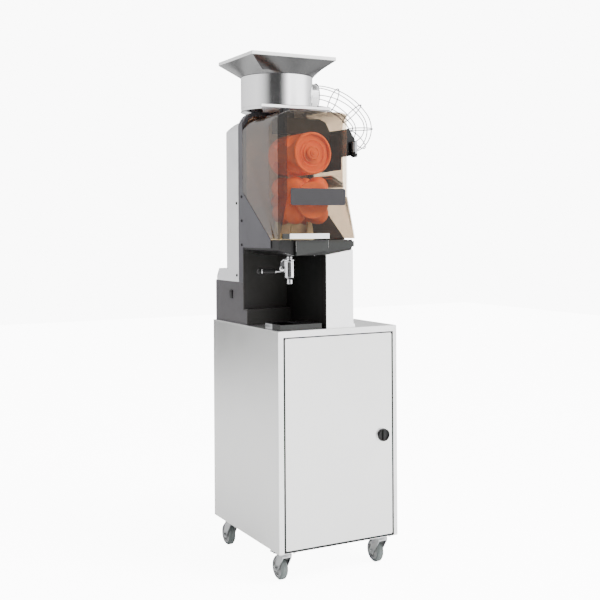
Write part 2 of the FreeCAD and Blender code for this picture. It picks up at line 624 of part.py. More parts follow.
def base_and_rear():
    """Base housing, rear cover and the arched chassis with its cheeks."""
    span = (left, right)
    profile = [(s.base_front, deck), (s.body_back, deck), (s.body_back, s.base_top),
               (s.chassis_front, s.base_top), (s.chassis_front, s.base_step), (s.base_front, s.base_step)]
    hollow = block(inset(span, s.wall), (s.chassis_front + s.wall, s.body_back - s.wall),
                   (deck - s.overrun, s.base_top - s.wall))
    motor_hole = block(inset(span, s.band * 2), (s.chassis_back + s.wall, s.cover_back - s.wall),
                       (s.base_top - s.wall - s.overrun, s.base_top + s.overrun))
    inlet_hole = block((across(s.inlet_x) - s.inlet_w / 2, across(s.inlet_x) + s.inlet_w / 2),
                       (s.body_back - s.wall - s.overrun, s.body_back + s.overrun),
                       (s.inlet_z - s.inlet_h / 2, s.inlet_z + s.inlet_h / 2))
    switch_hole = block((left - s.overrun, left + s.wall + s.overrun),
                        (s.switch_y - s.switch_w / 2, s.switch_y + s.switch_w / 2),
                        (s.switch_z - s.switch_h / 2, s.switch_z + s.switch_h / 2))
    toe = block(inset(span, s.wall), (s.base_front + s.wall, s.chassis_front + s.wall + s.overrun),
                (deck - s.overrun, s.base_step - s.wall))
    mount("base_housing", cut(prism("YZ", span, profile), hollow, toe, motor_hole, inlet_hole, switch_hole))

    def rear_form(wall, past):
        low = s.base_top - past
        front = s.chassis_back - past
        flank = prism("YZ", (left + wall, right - wall), [
            (front, low), (s.foot_back - wall, low), (s.foot_back - wall, s.foot_low - wall),
            (s.foot_top_y - wall, s.foot_high - wall), (s.cover_back - wall, s.foot_high - wall),
            (s.cover_back - wall, s.rear_round_z - wall), (s.rear_round_y, s.rear_top - wall),
            (front, s.rear_top - wall)])
        face = square((left + wall, right - wall), (low, s.rear_top - wall))
        arched = prism("XZ", (front, s.foot_back), face)
        return common(flank, rounded(arched, s.arch_r - s.band - wall, face[2:]))

    mount("rear_cover", cut(rear_form(size(0), size(0)), rear_form(s.metal, s.overrun)))

    outer = rounded(prism("XZ", (s.chassis_front, s.chassis_back), arch), s.arch_r, arch[2:])
    well = [(left + s.band, s.base_top + s.band), (right - s.band, s.base_top + s.band),
            (right - s.band, s.chassis_top - s.band), (left + s.band, s.chassis_top - s.band)]
    inner = rounded(prism("XZ", (s.chassis_front - s.overrun, web_y[0]), well), s.arch_r - s.band, well[2:])
    seats = [rod("Y", (drum_x, z), s.bearing_r, inset(web_y, -s.overrun)) for z in (s.upper_z, lower_z)]
    frame = cut(outer, inner, *seats)
    cheek = [(s.chassis_front, s.cheek_low), (s.chassis_front, s.cheek_back_z),
             (s.cheek_front, s.cheek_front_z), (s.cheek_front, s.cheek_low)]
    cheeks = [prism("YZ", side, cheek) for side in ((left, left + s.wall), (right - s.wall, right))]
    mount("chassis_frame", fuse(frame, *cheeks))

    splash_x = (left + s.band, right - s.band)
    shape = [(splash_x[0], s.splash_low), (splash_x[1], s.splash_low),
             (splash_x[1], s.chassis_top - s.band), (splash_x[0], s.chassis_top - s.band)]
    holes = [(drum_x, s.upper_z, s.bearing_r), (drum_x, lower_z, s.bearing_r)]
    liner = rounded(prism("XZ", splash_y, shape, circles=holes), s.arch_r - s.band, shape[2:])
    ledge = block(splash_x, (pan_back - s.ledge_lap, splash_y[0]),
                  (s.pan_top + s.seat_gap, s.pan_top + s.wall))
    mount("splash_wall", fuse(liner, ledge))


def bay():
    """Black liner of the serving bay, the peel duct, the drip tray and its grid."""
    liner_x = (left, duct_x[0])
    back = s.chassis_front
    corner = [(liner_x[0], back), (liner_x[0], back - s.liner_t), (liner_x[1] - s.liner_t, back - s.liner_t),
              (liner_x[1] - s.liner_t, s.duct_front), (liner_x[1], s.duct_front), (liner_x[1], back)]
    upper = prism("XY", (s.base_step, s.duct_low_top), corner)
    front = s.base_front
    foot = [(liner_x[0], front), (liner_x[0], front - s.liner_t), (liner_x[1] - s.liner_t, front - s.liner_t),
            (liner_x[1] - s.liner_t, s.duct_front), (liner_x[1], s.duct_front), (liner_x[1], front)]
    lower = prism("XY", (deck, s.base_step), foot)
    sill = block((liner_x[0], liner_x[1]), (front - s.liner_t, back), (s.base_step, s.base_step + s.liner_t))
    lintel = block(inner_x, (back - s.liner_t, back), (s.duct_low_top - s.liner_t, s.pan_top))
    mount("bay_liner", fuse(upper, lower, sill, lintel))

    duct_y = (s.duct_front, s.base_front)
    side = [(duct_x[0], deck), (duct_x[1], deck), (duct_x[1], s.duct_high_top), (duct_x[0], s.duct_low_top)]
    column = prism("XZ", duct_y, side)
    back_y = (duct_y[1], s.chassis_front - s.liner_t - s.seat_gap)
    filler_z = (s.base_step, s.duct_low_top - s.liner_t)
    filler = block(duct_x, back_y, filler_z)
    pocket = block(inset(duct_x, s.duct_wall), (back_y[0] + s.duct_wall, back_y[1] - s.duct_wall),
                   (filler_z[0] + s.duct_wall, filler_z[1] + s.overrun))
    bore = block(inset(duct_x, s.duct_wall), inset(duct_y, s.duct_wall),
                 (deck - s.overrun, s.duct_high_top + s.overrun))
    plinth = block((duct_x[1], right), duct_y, (deck, deck + s.plinth_h))
    mount("peel_duct", fuse(cut(column, bore), cut(filler, pocket), plinth))

    tray_x = (across(s.tray_left), across(s.tray_left + s.tray_w))
    tray_y = (s.boss_front + s.plinth_out, s.boss_front + s.plinth_out + s.tray_d)
    tray_z = (deck + s.seat_gap, deck + s.tray_h)
    well = block(inset(tray_x, s.tray_wall), inset(tray_y, s.tray_wall),
                 (tray_z[0] + s.tray_wall, tray_z[1] + s.overrun))
    mount("drip_tray", cut(block(tray_x, tray_y, tray_z), well))
    grid_x = inset(tray_x, s.tray_wall + s.seat_gap)
    grid_y = inset(tray_y, s.tray_wall + s.seat_gap)
    grid_z = (tray_z[1] - s.grid_t, tray_z[1])
    pitch = (grid_x[1] - grid_x[0]) / (s.grid_slots + 1)
    slots = []
    for number in range(1, int(float(s.grid_slots)) + 1):
        middle = grid_x[0] + pitch * number
        slots.append(block((middle - s.grid_slot_w / 2, middle + s.grid_slot_w / 2),
                           inset(grid_y, s.grid_slot_w * 2), inset(grid_z, -s.overrun)))
    legs = [block((x, x + s.grid_t), (y, y + s.grid_t), (tray_z[0] + s.tray_wall, grid_z[0] + s.grid_t / 2))
            for x in (grid_x[0], grid_x[1] - s.grid_t) for y in (grid_y[0], grid_y[1] - s.grid_t)]
    mount("drip_grid", fuse(cut(block(grid_x, grid_y, grid_z), *slots), *legs))


def collector():
    """Collector pan with its boss, and the strainer."""
    pan_x = (inner_x[0], right + s.pan_out)
    inner_right = inner_x[1]
    pan_y = (s.pan_front, pan_back)
    under = [(pan_x[0], s.duct_high_top), (across(s.boss_left), s.pan_low),
             (duct_x[0], s.duct_low_top + s.seat_gap * 2), (duct_x[1], s.duct_high_top + s.seat_gap),
             (inner_right, s.pan_end), (inner_right, s.pan_top), (pan_x[0], s.pan_top)]
    body = prism("XZ", pan_y, under)
    split = duct_x[0] + s.duct_wall
    juice = prism("XZ", inset(pan_y, s.pan_wall), [
        (pan_x[0] + s.pan_wall, s.duct_high_top + s.pan_wall), (across(s.boss_left), s.pan_low + s.pan_wall),
        (split - s.pan_wall, s.duct_low_top + s.pan_wall), (split - s.pan_wall, s.pan_top + s.overrun),
        (pan_x[0] + s.pan_wall, s.pan_top + s.overrun)])
    peel = block(inset(duct_x, s.duct_wall), (s.pan_front + s.band, s.base_front - s.duct_wall),
                 (s.duct_low_top - s.overrun, s.pan_top + s.overrun))
    end = block((inner_right, pan_x[1]), (s.pan_front, s.cheek_front - s.overrun),
                (s.pan_end, s.pan_top - s.overrun))
    boss = prism("XZ", (s.boss_front, s.pan_front), [
        (across(s.boss_left), s.pan_low), (duct_x[0] + s.duct_wall * 2, s.pan_mid - s.metal),
        (duct_x[0] + s.duct_wall * 2, s.pan_top), (across(s.boss_left), s.pan_top)])
    tap_spot = (tap_x, s.tap_y)
    drain = rod("Z", tap_spot, s.outlet_r - s.spout_wall, (s.pan_low - s.overrun * 2, s.pan_top))
    nozzle = rod("Z", tap_spot, s.outlet_r, (s.pan_low - s.overrun, s.pan_low + s.pan_wall))
    mount("collector_pan", cut(fuse(cut(fuse(body, end), juice, peel), boss, nozzle), drain))

    sieve_x = (pan_x[0] + s.pan_wall + s.seat_gap, split - s.pan_wall - s.seat_gap)
    sieve_y = inset(pan_y, s.pan_wall + s.seat_gap)
    sieve_z = (s.pan_top - s.strainer_drop, s.pan_top - s.strainer_drop + s.strainer_t)
    holes = []
    columns = int(float(sieve_x[1] - sieve_x[0]) / float(s.sieve_pitch)) - 1
    lines = int(float(sieve_y[1] - sieve_y[0]) / float(s.sieve_pitch * 2)) - 1
    for column in range(columns):
        for line in range(lines):
            x = sieve_x[0] + s.sieve_pitch * (column + 1)
            y = sieve_y[0] + s.sieve_pitch * 2 * (line + 1) - s.sieve_pitch
            holes.append(block((x, x + s.sieve_hole), (y, y + s.sieve_pitch * 3 / 2),
                               inset(sieve_z, -s.overrun)))
    skirt = cut(block(sieve_x, sieve_y, (sieve_z[0], s.pan_top)),
                block(inset(sieve_x, s.strainer_t), inset(sieve_y, s.strainer_t),
                      (sieve_z[0] - s.overrun, s.pan_top + s.overrun)))
    mount("strainer", fuse(cut(block(sieve_x, sieve_y, sieve_z), *holes), skirt))


def tap():
    """Tap with its lever and grip, drawn about the tap's own axis and then turned."""
    own = (0, 0)
    barrel = fuse(rod("Z", own, s.tap_r, (s.tap_low, s.tap_high)),
                  rod("Z", own, s.tap_r + s.metal, (s.tap_high - s.tap_cap, s.tap_high)),
                  taper("Z", own, (s.spout_r, s.tap_r), (s.tap_low - s.tap_cap * 2, s.tap_low)),
                  rod("Z", own, s.spout_r, (s.spout_low, s.tap_low)),
                  rod("Z", own, s.neck_r + s.metal, (s.tap_high - s.tap_cap, s.pan_low - s.overrun)))
    bore = rod("Z", own, s.spout_r - s.spout_wall, (s.spout_low - s.overrun, s.pan_low))
    window = block((-s.slot_w / 2, s.slot_w / 2), (-s.tap_r * 2, -s.neck_r),
                   (s.tap_low - s.tap_cap, s.tap_high - s.tap_cap * 2))
    yoke_x = (-s.tap_r - s.yoke_out, -s.tap_r + s.metal)
    yoke_y = (-s.yoke_w / 2, s.yoke_w / 2)
    yoke_z = (s.tap_high - s.yoke_h, s.tap_high - s.tap_cap * 2)
    slot_half = s.lever_r + s.seat_gap
    slot = block((yoke_x[0] - s.overrun, -s.tap_r), (-slot_half, slot_half), inset(yoke_z, -s.overrun))
    pivot = (yoke_x[0] + s.yoke_out / 2, s.lever_z + s.lever_r * 2)
    hole = rod("Y", pivot, s.hinge_pin_r, inset(yoke_y, -s.overrun))
    yoke = cut(block(yoke_x, yoke_y, yoke_z), slot, hole)
    tap_at = {"place_at": (tap_x, s.tap_y), "turn": s.tap_turn}
    mount("tap_body", fuse(cut(barrel, bore, window), yoke), **tap_at)

    end_x = pivot[0] - s.lever_len
    half = s.lever_bar_r
    eye = rod("Y", pivot, s.lever_r, (-s.lever_r, s.lever_r))
    pin = rod("Y", pivot, s.hinge_pin_r - s.run_gap, yoke_y)
    arm = block((pivot[0] - half, pivot[0] + half), (-half, half), (s.lever_z - half, pivot[1]))
    bar = rod("X", (0, s.lever_z), half, (end_x, pivot[0]))
    mount("tap_lever", fuse(eye, pin, arm, bar), **tap_at)
    sleeve = rod("X", (0, s.lever_z), s.grip_r, (end_x - s.overrun, end_x + s.grip_len - s.knob_r))
    knob = ball((end_x - s.knob_r, 0, s.lever_z), s.knob_r)
    knob.Placement.Rotation = FreeCAD.Rotation(AXES["Z"], 180)
    seat = rod("X", (0, s.lever_z), half, (end_x, pivot[0]))
    mount("tap_grip", cut(fuse(sleeve, knob), seat), **tap_at)


def half_space_box(x, y, z):
    """A plain solid box for cutting, from three spans."""
    low = Vec(float(x[0]), float(y[0]), float(z[0]))
    return Part.makeBox(float(x[1] - x[0]), float(y[1] - y[0]), float(z[1] - z[0]), low)


def extruded(points, along):
    """A solid from a closed polygon of vectors."""
    return Part.Face(Part.makePolygon(points + points[:1])).extrude(along)


def tetrahedron(points):
    """A solid with four corners."""
    faces = []
    for trio in ((0, 1, 2), (0, 1, 3), (0, 2, 3), (1, 2, 3)):
        corners = [points[index] for index in trio]
        faces.append(Part.Face(Part.makePolygon(corners + corners[:1])))
    solid = Part.Solid(Part.Shell(faces))
    if solid.Volume < 0:
        solid.reverse()
    return solid


def shield_form(wall):
    """The front cover's outer form, or with a wall its inner one."""
    wall = float(wall)
    x = (float(left) + wall, float(right) - wall)
    front = float(s.shield_front) + wall
    back = float(s.chassis_front - s.seat_gap) + (float(s.overrun) if wall else 0)
    low = float(s.shield_low) - (float(s.overrun) if wall else 0)
    top = float(s.shield_top) - wall
    box = Part.makeBox(x[1] - x[0], back - front, top - low, Vec(x[0], front, low))
    edges = [edge for edge in box.Edges
             if abs(edge.BoundBox.YLength - (back - front)) < 0.01 and edge.BoundBox.ZMin > top - 0.01]
    form = box.makeFillet(float(s.arch_r) - wall, edges)
    leg_x, leg_y = float(s.bevel_x), float(s.bevel_y)
    pull = 1 / leg_x + 1 / leg_y - math.hypot(1 / leg_x, 1 / leg_y)
    share = 1 - wall * pull
    crease = float(s.crease_z)
    apex = float(s.shield_low) + (1 - share) * (crease - float(s.shield_low))
    for corner, sign in ((x[0], 1), (x[1], -1)):
        near = Vec(corner, front, crease)
        across = Vec(corner + sign * leg_x * share, front, crease)
        behind = Vec(corner, front + leg_y * share, crease)
        form = form.cut(extruded([near, across, behind], Vec(0, 0, top)))
        form = form.cut(tetrahedron([near, across, behind, Vec(corner, front, apex)]))
    return form


def front_shield():
    """Smoked front cover with its handle, plate and catch."""
    shell = shield_form(0).cut(shield_form(s.shield_t))
    past = float(s.overrun)
    rise = float(s.cheek_back_z - s.cheek_front_z)
    run = float(s.chassis_front - s.cheek_front)
    low = float(s.shield_low)
    back = float(s.chassis_front)
    gap = float(s.seat_gap)
    side = float(left) - past
    toe = float(s.cheek_front)
    high = low + gap + rise * (run + past) / run
    slope = [Vec(side, toe, low - past), Vec(side, toe, low + gap),
             Vec(side, back + past, high), Vec(side, back + past, low - past)]
    shell = shell.cut(extruded(slope, Vec(float(s.body_w) + past * 2, 0, 0)))
    motor_middle = hopper_x - s.feeder_motor_in + s.feeder_motor_w / 2
    notch_x = (motor_middle - s.notch_w / 2, motor_middle + s.notch_w / 2)
    notch = half_space_box(notch_x, (s.hopper_y - s.notch_w / 2, s.chassis_front + s.overrun),
                           (s.shield_top - s.shield_t - s.overrun, s.shield_top + s.overrun))
    port = half_space_box((right - s.shield_t - s.overrun, right + s.overrun),
                          inset((s.infeed_front, s.infeed_back), s.wall), (s.port_low, s.port_high))
    mount("front_cover", shaped(shell.cut(notch).cut(port)))

    bar_y = (s.shield_front - s.handle_stand, s.shield_front - s.handle_stand + s.handle_t)
    foot_z = (s.handle_low, s.handle_high - s.handle_t)
    feet = [block((x, x + s.handle_t * 2), (bar_y[0], s.shield_front), foot_z)
            for x in (across(s.handle_left) + s.handle_t, across(s.handle_right) - s.handle_t * 3)]
    bar = block((across(s.handle_left), across(s.handle_right)), bar_y, (s.handle_low, s.handle_high))
    mount("cover_handle", fuse(bar, *feet))
    plate_x = (across(s.plate_left), across(s.plate_left + s.plate_w))
    outline = square(plate_x, (s.plate_low, s.plate_low + s.plate_h))
    badge = prism("XZ", (s.shield_front - s.plate_t2, s.shield_front), outline)
    mount("name_plate", rounded(badge, s.plate_corner, outline))
    catch_x = (across(s.catch_x) - s.catch_w / 2, across(s.catch_x) + s.catch_w / 2)
    catch_y = (s.deck_front - s.catch_out, s.deck_front - s.catch_out + s.catch_d)
    mount("cover_catch", block(catch_x, catch_y, (s.shield_top + s.seat_gap, s.chassis_top)))


def gear_outline(teeth, module, play, phase):
    """The outline of a spur gear with involute flanks, in the XZ plane about the origin."""
    pitch_r = teeth * module / 2
    base_r = pitch_r * math.cos(math.radians(20))
    tip_r = pitch_r + 0.9 * module
    root_r = pitch_r - 1.2 * module

    def spread(radius):
        ratio = max(1.0, radius / base_r)
        return math.sqrt(ratio * ratio - 1) - math.acos(1 / ratio)

    half = (math.pi * module / 2 - play) / pitch_r / 2 + spread(pitch_r)
    start_r = max(base_r, root_r + 0.1 * module)
    radii = [start_r + (tip_r - start_r) * share for share in (0, 0.34, 0.67, 1)]
    points = []
    for tooth in range(teeth):
        middle = phase + 2 * math.pi * tooth / teeth
        gap = half - spread(start_r)
        flank = [(root_r, gap)] + [(radius, half - spread(radius)) for radius in radii]
        for radius, turn in flank:
            points.append((radius, middle - turn))
        for radius, turn in reversed(flank):
            points.append((radius, middle + turn))
    return [Vec(radius * math.cos(turn), 0, radius * math.sin(turn)) for radius, turn in points]


def gear(teeth, phase_deg, x, z, bore):
    """A spur gear with its hub, on the gear plane."""
    phase = math.radians(phase_deg)
    outline = gear_outline(int(float(teeth)), float(s.gear_module), float(s.gear_play), phase)
    wheel = extruded(outline, Vec(0, float(s.gear_t), 0))
    wheel.translate(Vec(float(x), float(s.gear_y), float(z)))
    start = Vec(float(x), float(s.gear_y), float(z))
    hole = Part.makeCylinder(float(bore), float(s.gear_t), start, AXES["Y"])
    return shaped(wheel.cut(hole))


def drums():
    """Cup drum, ball drum, their shafts and gears, the bearings and the gear motor."""
    drum_y = (s.drum_front, s.drum_back)
    rows = (s.row_front, s.row_front + s.row_pitch)
    shaft_y = (s.drum_front + s.disc_t, s.gear_y + s.gear_t + s.hub_step)

    def spots(centre_z, at, y):
        share = math.sqrt(0.5)
        return [(drum_x + at * share * a, y, centre_z + at * share * b) for a in (-1, 1) for b in (-1, 1)]

    def hubs(z):
        at = (drum_x, z)
        front = s.drum_front
        return [rod("Y", at, s.hub_ring_r, (front - s.hub_ring_h, front)),
                rod("Y", at, s.hub_ring_r / 2, (front - s.hub_ring_h - s.metal * 2, front)),
                rod("Y", at, s.hub_ring_r, (drum_y[1], splash_y[0] - s.seat_gap))]

    at = (drum_x, s.upper_z)
    cups = [ball(spot, s.cup_r) for y in rows for spot in spots(s.upper_z, s.cup_at, y)]
    dish = cut(rod("Y", at, s.upper_r - s.disc_t, (s.drum_front - s.overrun, s.drum_front + s.hub_step)),
               rod("Y", at, s.hub_ring_r + s.disc_t, (s.drum_front - s.overrun * 2, s.drum_front + s.disc_t)))
    bore = rod("Y", at, s.shaft_r, (shaft_y[0], splash_y[0] + s.overrun))
    mount("upper_drum", cut(fuse(cut(rod("Y", at, s.upper_r, drum_y), dish, *cups), *hubs(s.upper_z)), bore))

    at = (drum_x, lower_z)
    balls = [ball(spot, s.ball_r) for y in rows for spot in spots(lower_z, s.ball_at, y)]
    bore = rod("Y", at, s.shaft_r, (shaft_y[0], splash_y[0] + s.overrun))
    flange = rod("Y", at, s.core_r + s.disc_t, (s.drum_front, s.drum_front + s.disc_t))
    mount("lower_drum", cut(fuse(rod("Y", at, s.core_r, drum_y), flange, *(balls + hubs(lower_z))), bore))

    gear_y = (s.gear_y, s.gear_y + s.gear_t)
    pitch = 360 / float(s.gear_teeth)
    phases = {"upper": 0.0, "lower": pitch / 2}
    for name, z in (("upper", s.upper_z), ("lower", lower_z)):
        wheel = gear(s.gear_teeth, phases[name], drum_x, z, s.shaft_r)
        spot = (drum_x, z)
        collar = cut(rod("Y", spot, s.gear_hub_r, (gear_y[1], shaft_y[1])),
                     rod("Y", spot, s.shaft_r, inset(shaft_y, -s.overrun)))
        mount(name + "_shaft", group(rod("Y", spot, s.shaft_r, shaft_y), wheel, collar))

    bearing_y = (splash_y[0], web_y[1])
    rings = [cut(rod("Y", (drum_x, z), s.bearing_r, bearing_y),
                 rod("Y", (drum_x, z), s.shaft_r + s.run_gap, inset(bearing_y, -s.overrun)))
             for z in (s.upper_z, lower_z)]
    mount("shaft_bearings", group(*rings))

    module = s.gear_module
    reach = module * (s.gear_teeth + s.pinion_teeth) / 2
    turn = math.radians(float(s.pinion_angle))
    pinion_x = drum_x + reach * cosine(s.pinion_angle)
    pinion_z = lower_z + reach * math.sin(turn)
    local = (float(s.pinion_angle) - phases["lower"]) / pitch
    pinion_pitch = 360 / float(s.pinion_teeth)
    phase = float(s.pinion_angle) + 180 - pinion_pitch * (0.5 - local)
    wheel = gear(s.pinion_teeth, phase, pinion_x, pinion_z, s.pinion_shaft_r)
    plug = rod("Y", (pinion_x, pinion_z), s.pinion_shaft_r, (s.gear_y - s.hub_step, gear_y[1] + s.hub_step))
    mount("motor_pinion", group(wheel, plug))
    box_y = (gear_y[1] + s.metal, gear_y[1] + s.metal + s.gearbox_t)
    half = s.motor_r + s.metal
    casing = block((pinion_x - half, pinion_x + half), box_y, (pinion_z - half, pinion_z + half))
    can = rod("Y", (pinion_x, pinion_z), s.motor_r, (box_y[1], box_y[1] + s.motor_len - s.gearbox_t))
    seat = rod("Y", (pinion_x, pinion_z), s.pinion_shaft_r + s.run_gap,
               (box_y[0] - s.overrun, gear_y[1] + s.hub_step + s.seat_gap))
    reach = half - s.screw_r * 2
    posts = [rod("Y", (pinion_x + reach * side, pinion_z - reach), s.screw_r, (web_y[1], box_y[0]))
             for side in (-1, 1)]
    mount("gear_motor", cut(fuse(casing, can, *posts), seat))


def knife_and_guides():
    """Knife, peel ejectors, side infeed, inner guide and the infeed's locking knob."""
    knife_left = drum_x + s.knife_in
    ramp_left = drum_x + s.ramp_in
    lip_x = hopper_x + s.lip_out
    mouth_x = hopper_x + s.mouth_out
    latch_x = hopper_x + s.latch_out
    ramp_right = across(s.ramp_right)
    rest_left = across(s.rest_left)
    rail_x = (across(s.rail_left), across(s.rail_right))
    blade = [(knife_left, s.knife_high), (across(s.knife_right), s.knife_low),
             (across(s.knife_right), s.knife_low - s.knife_t), (knife_left, s.knife_high - s.knife_t)]
    second = [(u, v - s.knife_t * 3) for u, v in blade]
    mount("cutting_knife", group(prism("XZ", (s.knife_front, splash_y[0]), blade),
                                prism("XZ", (s.knife_front, splash_y[0]), second)))

    bar_z = (s.pan_top, s.pan_top + s.comb_bar)
    teeth = []
    half = s.comb_w / 2
    for number in (-1, 0, 1):
        middle = drum_x - s.comb_aside + s.comb_pitch * number
        teeth.append(prism("XZ", (s.comb_y, s.comb_y + s.comb_t), [
            (middle - half, bar_z[0]), (middle + half, bar_z[0]), (middle + half / 2, s.comb_high),
            (middle - half / 2, s.comb_high)]))
    bar_x = (inner_x[0] + s.metal, drum_x - s.comb_aside + s.comb_pitch + half)
    bar = block(bar_x, (s.comb_y, s.comb_y + s.comb_t), bar_z)
    mount("ejector_comb", fuse(bar, *teeth))

    box_y = (s.infeed_front, s.infeed_back)
    side_x = right + s.seat_gap
    outline = [(side_x, s.infeed_low), (lip_x, s.lip_low), (lip_x, s.lip_high), (mouth_x, s.mouth_z),
               (side_x, s.infeed_top)]
    throat = [(side_x - s.overrun, s.infeed_low + s.wall), (lip_x + s.overrun, s.lip_low + s.wall),
              (lip_x + s.overrun, s.mouth_z + s.overrun), (mouth_x, s.mouth_z + s.overrun),
              (mouth_x, s.mouth_z - s.wall), (side_x - s.overrun, s.infeed_top - s.wall)]
    latch_at = (latch_x, s.latch_y)
    barrel = rod("Z", latch_at, s.barrel_r, (s.barrel_low, s.barrel_high))
    lug = block((latch_x - s.barrel_r / 2, latch_x + s.barrel_r / 2),
                (s.latch_y, s.infeed_front + s.wall / 2), (s.barrel_low, s.barrel_high))
    socket = rod("Z", latch_at, s.latch_pin_r + s.run_gap, (s.latch_z, s.latch_pin_top + s.overrun))
    box = cut(prism("XZ", box_y, outline), prism("XZ", inset(box_y, s.wall), throat))
    arm_z = (s.infeed_low + s.wall, s.infeed_top)
    arm = block((side_x, side_x + s.wall), (s.infeed_back - s.wall, s.chassis_back), arm_z)
    pad = block((right, side_x + s.wall), (s.chassis_front + s.metal, s.chassis_back), arm_z)
    mount("infeed_box", cut(fuse(box, arm, pad, lug, barrel), socket))

    ramp = [(ramp_right, s.ramp_high), (ramp_left, s.ramp_low), (ramp_left, s.ramp_low - s.guide_t),
            (rest_left, s.ramp_low - s.guide_t), (rest_left, s.rest_low), (ramp_right, s.rest_low)]
    rail = [(rail_x[0], s.rail_low), (rail_x[1], s.rail_high), (rail_x[1], s.rail_high + s.guide_t),
            (rail_x[0], s.rail_low + s.guide_t)]
    hood_x = drum_x + s.hood_in
    hood = [(across(s.hood_left), s.hood_low), (rail_x[0], s.hood_low), (hood_x, s.hood_knee),
            (hood_x, s.ramp_low), (ramp_right, s.ramp_low), (ramp_right, s.hood_side),
            (rail_x[1], s.rail_high + s.guide_t), (across(s.hood_bend), s.hood_high),
            (across(s.hood_left), s.hood_high)]
    mount("infeed_guide", fuse(prism("XZ", (s.infeed_front, s.chassis_front), ramp),
                               prism("XZ", (s.infeed_front, splash_y[0]), rail),
                               prism("XZ", (s.infeed_front, s.infeed_front + s.guide_t), hood)))

    knob = rod("Z", latch_at, s.latch_r, (s.latch_z, s.latch_z + s.latch_h))
    wing = block((latch_x - s.latch_pin_r, latch_x + s.latch_pin_r),
                 (s.latch_y - s.latch_r, s.latch_y + s.latch_r), (s.latch_z - s.wall, s.latch_z))
    stem = rod("Z", latch_at, s.latch_pin_r, (s.latch_z, s.latch_pin_top))
    mount("latch_knob", fuse(knob, wing, stem))


def feeder():
    """Deck plate, feeder bowl, turning disc and its motor, square hopper and wire chute."""
    centre = (hopper_x, s.hopper_y)
    plate = block((across(s.deck_left), across(s.deck_right)), (s.deck_front, s.chassis_back), deck_z)
    shaft_hole = rod("Z", centre, s.feeder_shaft_r + s.run_gap, inset(deck_z, -s.overrun))
    mount("deck_plate", cut(plate, shaft_hole))

    bowl_z = (deck_z[1], bowl_top)
    bowl = rod("Z", centre, s.feeder_r, bowl_z)
    well = rod("Z", centre, s.feeder_r - s.metal, (bowl_z[0] + s.metal, bowl_z[1] + s.overrun))
    hole = rod("Z", centre, s.feeder_shaft_r + s.run_gap, (bowl_z[0] - s.overrun, bowl_z[0] + s.overrun))
    tube = local_rod(s.chute_r + s.outlet_wall, outlet_z, (s.feeder_r - s.band, s.feeder_r + s.outlet_len))
    bore = local_rod(s.chute_r, outlet_z, (s.feeder_r / 2, s.feeder_r + s.outlet_len + s.overrun))
    mount("feeder_bowl", cut(fuse(bowl, tube), well, hole, bore))

    disc_z = (bowl_z[0] + s.metal + s.disc_lift, bowl_z[0] + s.metal + s.disc_lift + s.disc_h)
    pockets = []
    for number in range(3):
        turn = 2 * math.pi * number / 3
        spot = (hopper_x + s.pocket_at * math.cos(turn), s.hopper_y + s.pocket_at * math.sin(turn))
        pockets.append(rod("Z", spot, s.pocket_r, inset(disc_z, -s.overrun)))
    cap = taper("Z", centre, (s.cone_h / 2, s.cone_h / 4), (disc_z[1], disc_z[1] + s.cone_h / 2))
    stem = rod("Z", centre, s.feeder_shaft_r, (deck_z[0] - s.feeder_shaft_in, disc_z[1]))
    disc = cut(rod("Z", centre, s.disc_r, disc_z), *pockets)
    mount("feeder_disc", fuse(disc, cap, stem))

    motor_x = (hopper_x - s.feeder_motor_in, hopper_x - s.feeder_motor_in + s.feeder_motor_w)
    motor_y = (s.hopper_y - s.feeder_motor_w / 2, s.chassis_front)
    motor_z = (deck_z[0] - s.feeder_motor_h, deck_z[0])
    socket = rod("Z", centre, s.feeder_shaft_r + s.run_gap,
                 (deck_z[0] - s.feeder_shaft_in - s.seat_gap, deck_z[0] + s.overrun))
    mount("feeder_motor", cut(block(motor_x, motor_y, motor_z), socket))

    mount("hopper", hopper_shape())
    mount("wire_chute", wire_chute(), place_at=centre, turn=s.chute_turn)


def local_rod(radius, z, span):
    """A cylinder that leaves the feeder's axis along the chute's direction."""
    turn = math.radians(float(s.chute_turn))
    aim = Vec(math.cos(turn), math.sin(turn), 0)
    start = Vec(float(hopper_x), float(s.hopper_y), float(z)) + aim * float(span[0])
    return shaped(Part.makeCylinder(float(radius), float(span[1]) - float(span[0]), start, aim))


def hopper_loft(wall):
    """A loft from the square rim down to the round bowl, drawn in by a wall."""
    x, y, z = float(hopper_x), float(s.hopper_y), float(rim_z)
    half_x = float(s.rim_w) / 2 - wall
    half_y = float(s.rim_d) / 2 - wall
    radius = float(s.feeder_r) - wall
    low = float(bowl_top)
    corners = [Vec(x + a * half_x, y + b * half_y, z) for a, b in ((1, 1), (-1, 1), (-1, -1), (1, -1))]
    rim = Part.makePolygon(corners + corners[:1])
    arcs = []
    for quarter in range(4):
        turns = [math.pi / 4 + math.pi / 2 * (quarter + share) for share in (0, 0.5, 1)]
        spots = [Vec(x + radius * math.cos(t), y + radius * math.sin(t), low) for t in turns]
        arcs.append(Part.Arc(*spots).toShape())
    return Part.makeLoft([rim, Part.Wire(arcs)], True, True)


def hopper_shape():
    """Square funnel with an upright lip."""
    wall = float(s.metal)
    funnel = hopper_loft(0).cut(hopper_loft(wall))
    rim_x = (hopper_x - s.rim_w / 2, hopper_x + s.rim_w / 2)
    rim_y = (s.hopper_y - s.rim_d / 2, s.hopper_y + s.rim_d / 2)
    lip_z = (rim_z, rim_z + s.rim_lip)
    lip = half_space_box(rim_x, rim_y, lip_z).cut(
        half_space_box(inset(rim_x, s.metal), inset(rim_y, s.metal), inset(lip_z, -s.overrun)))
    return shaped(funnel.fuse(lip).removeSplitter())


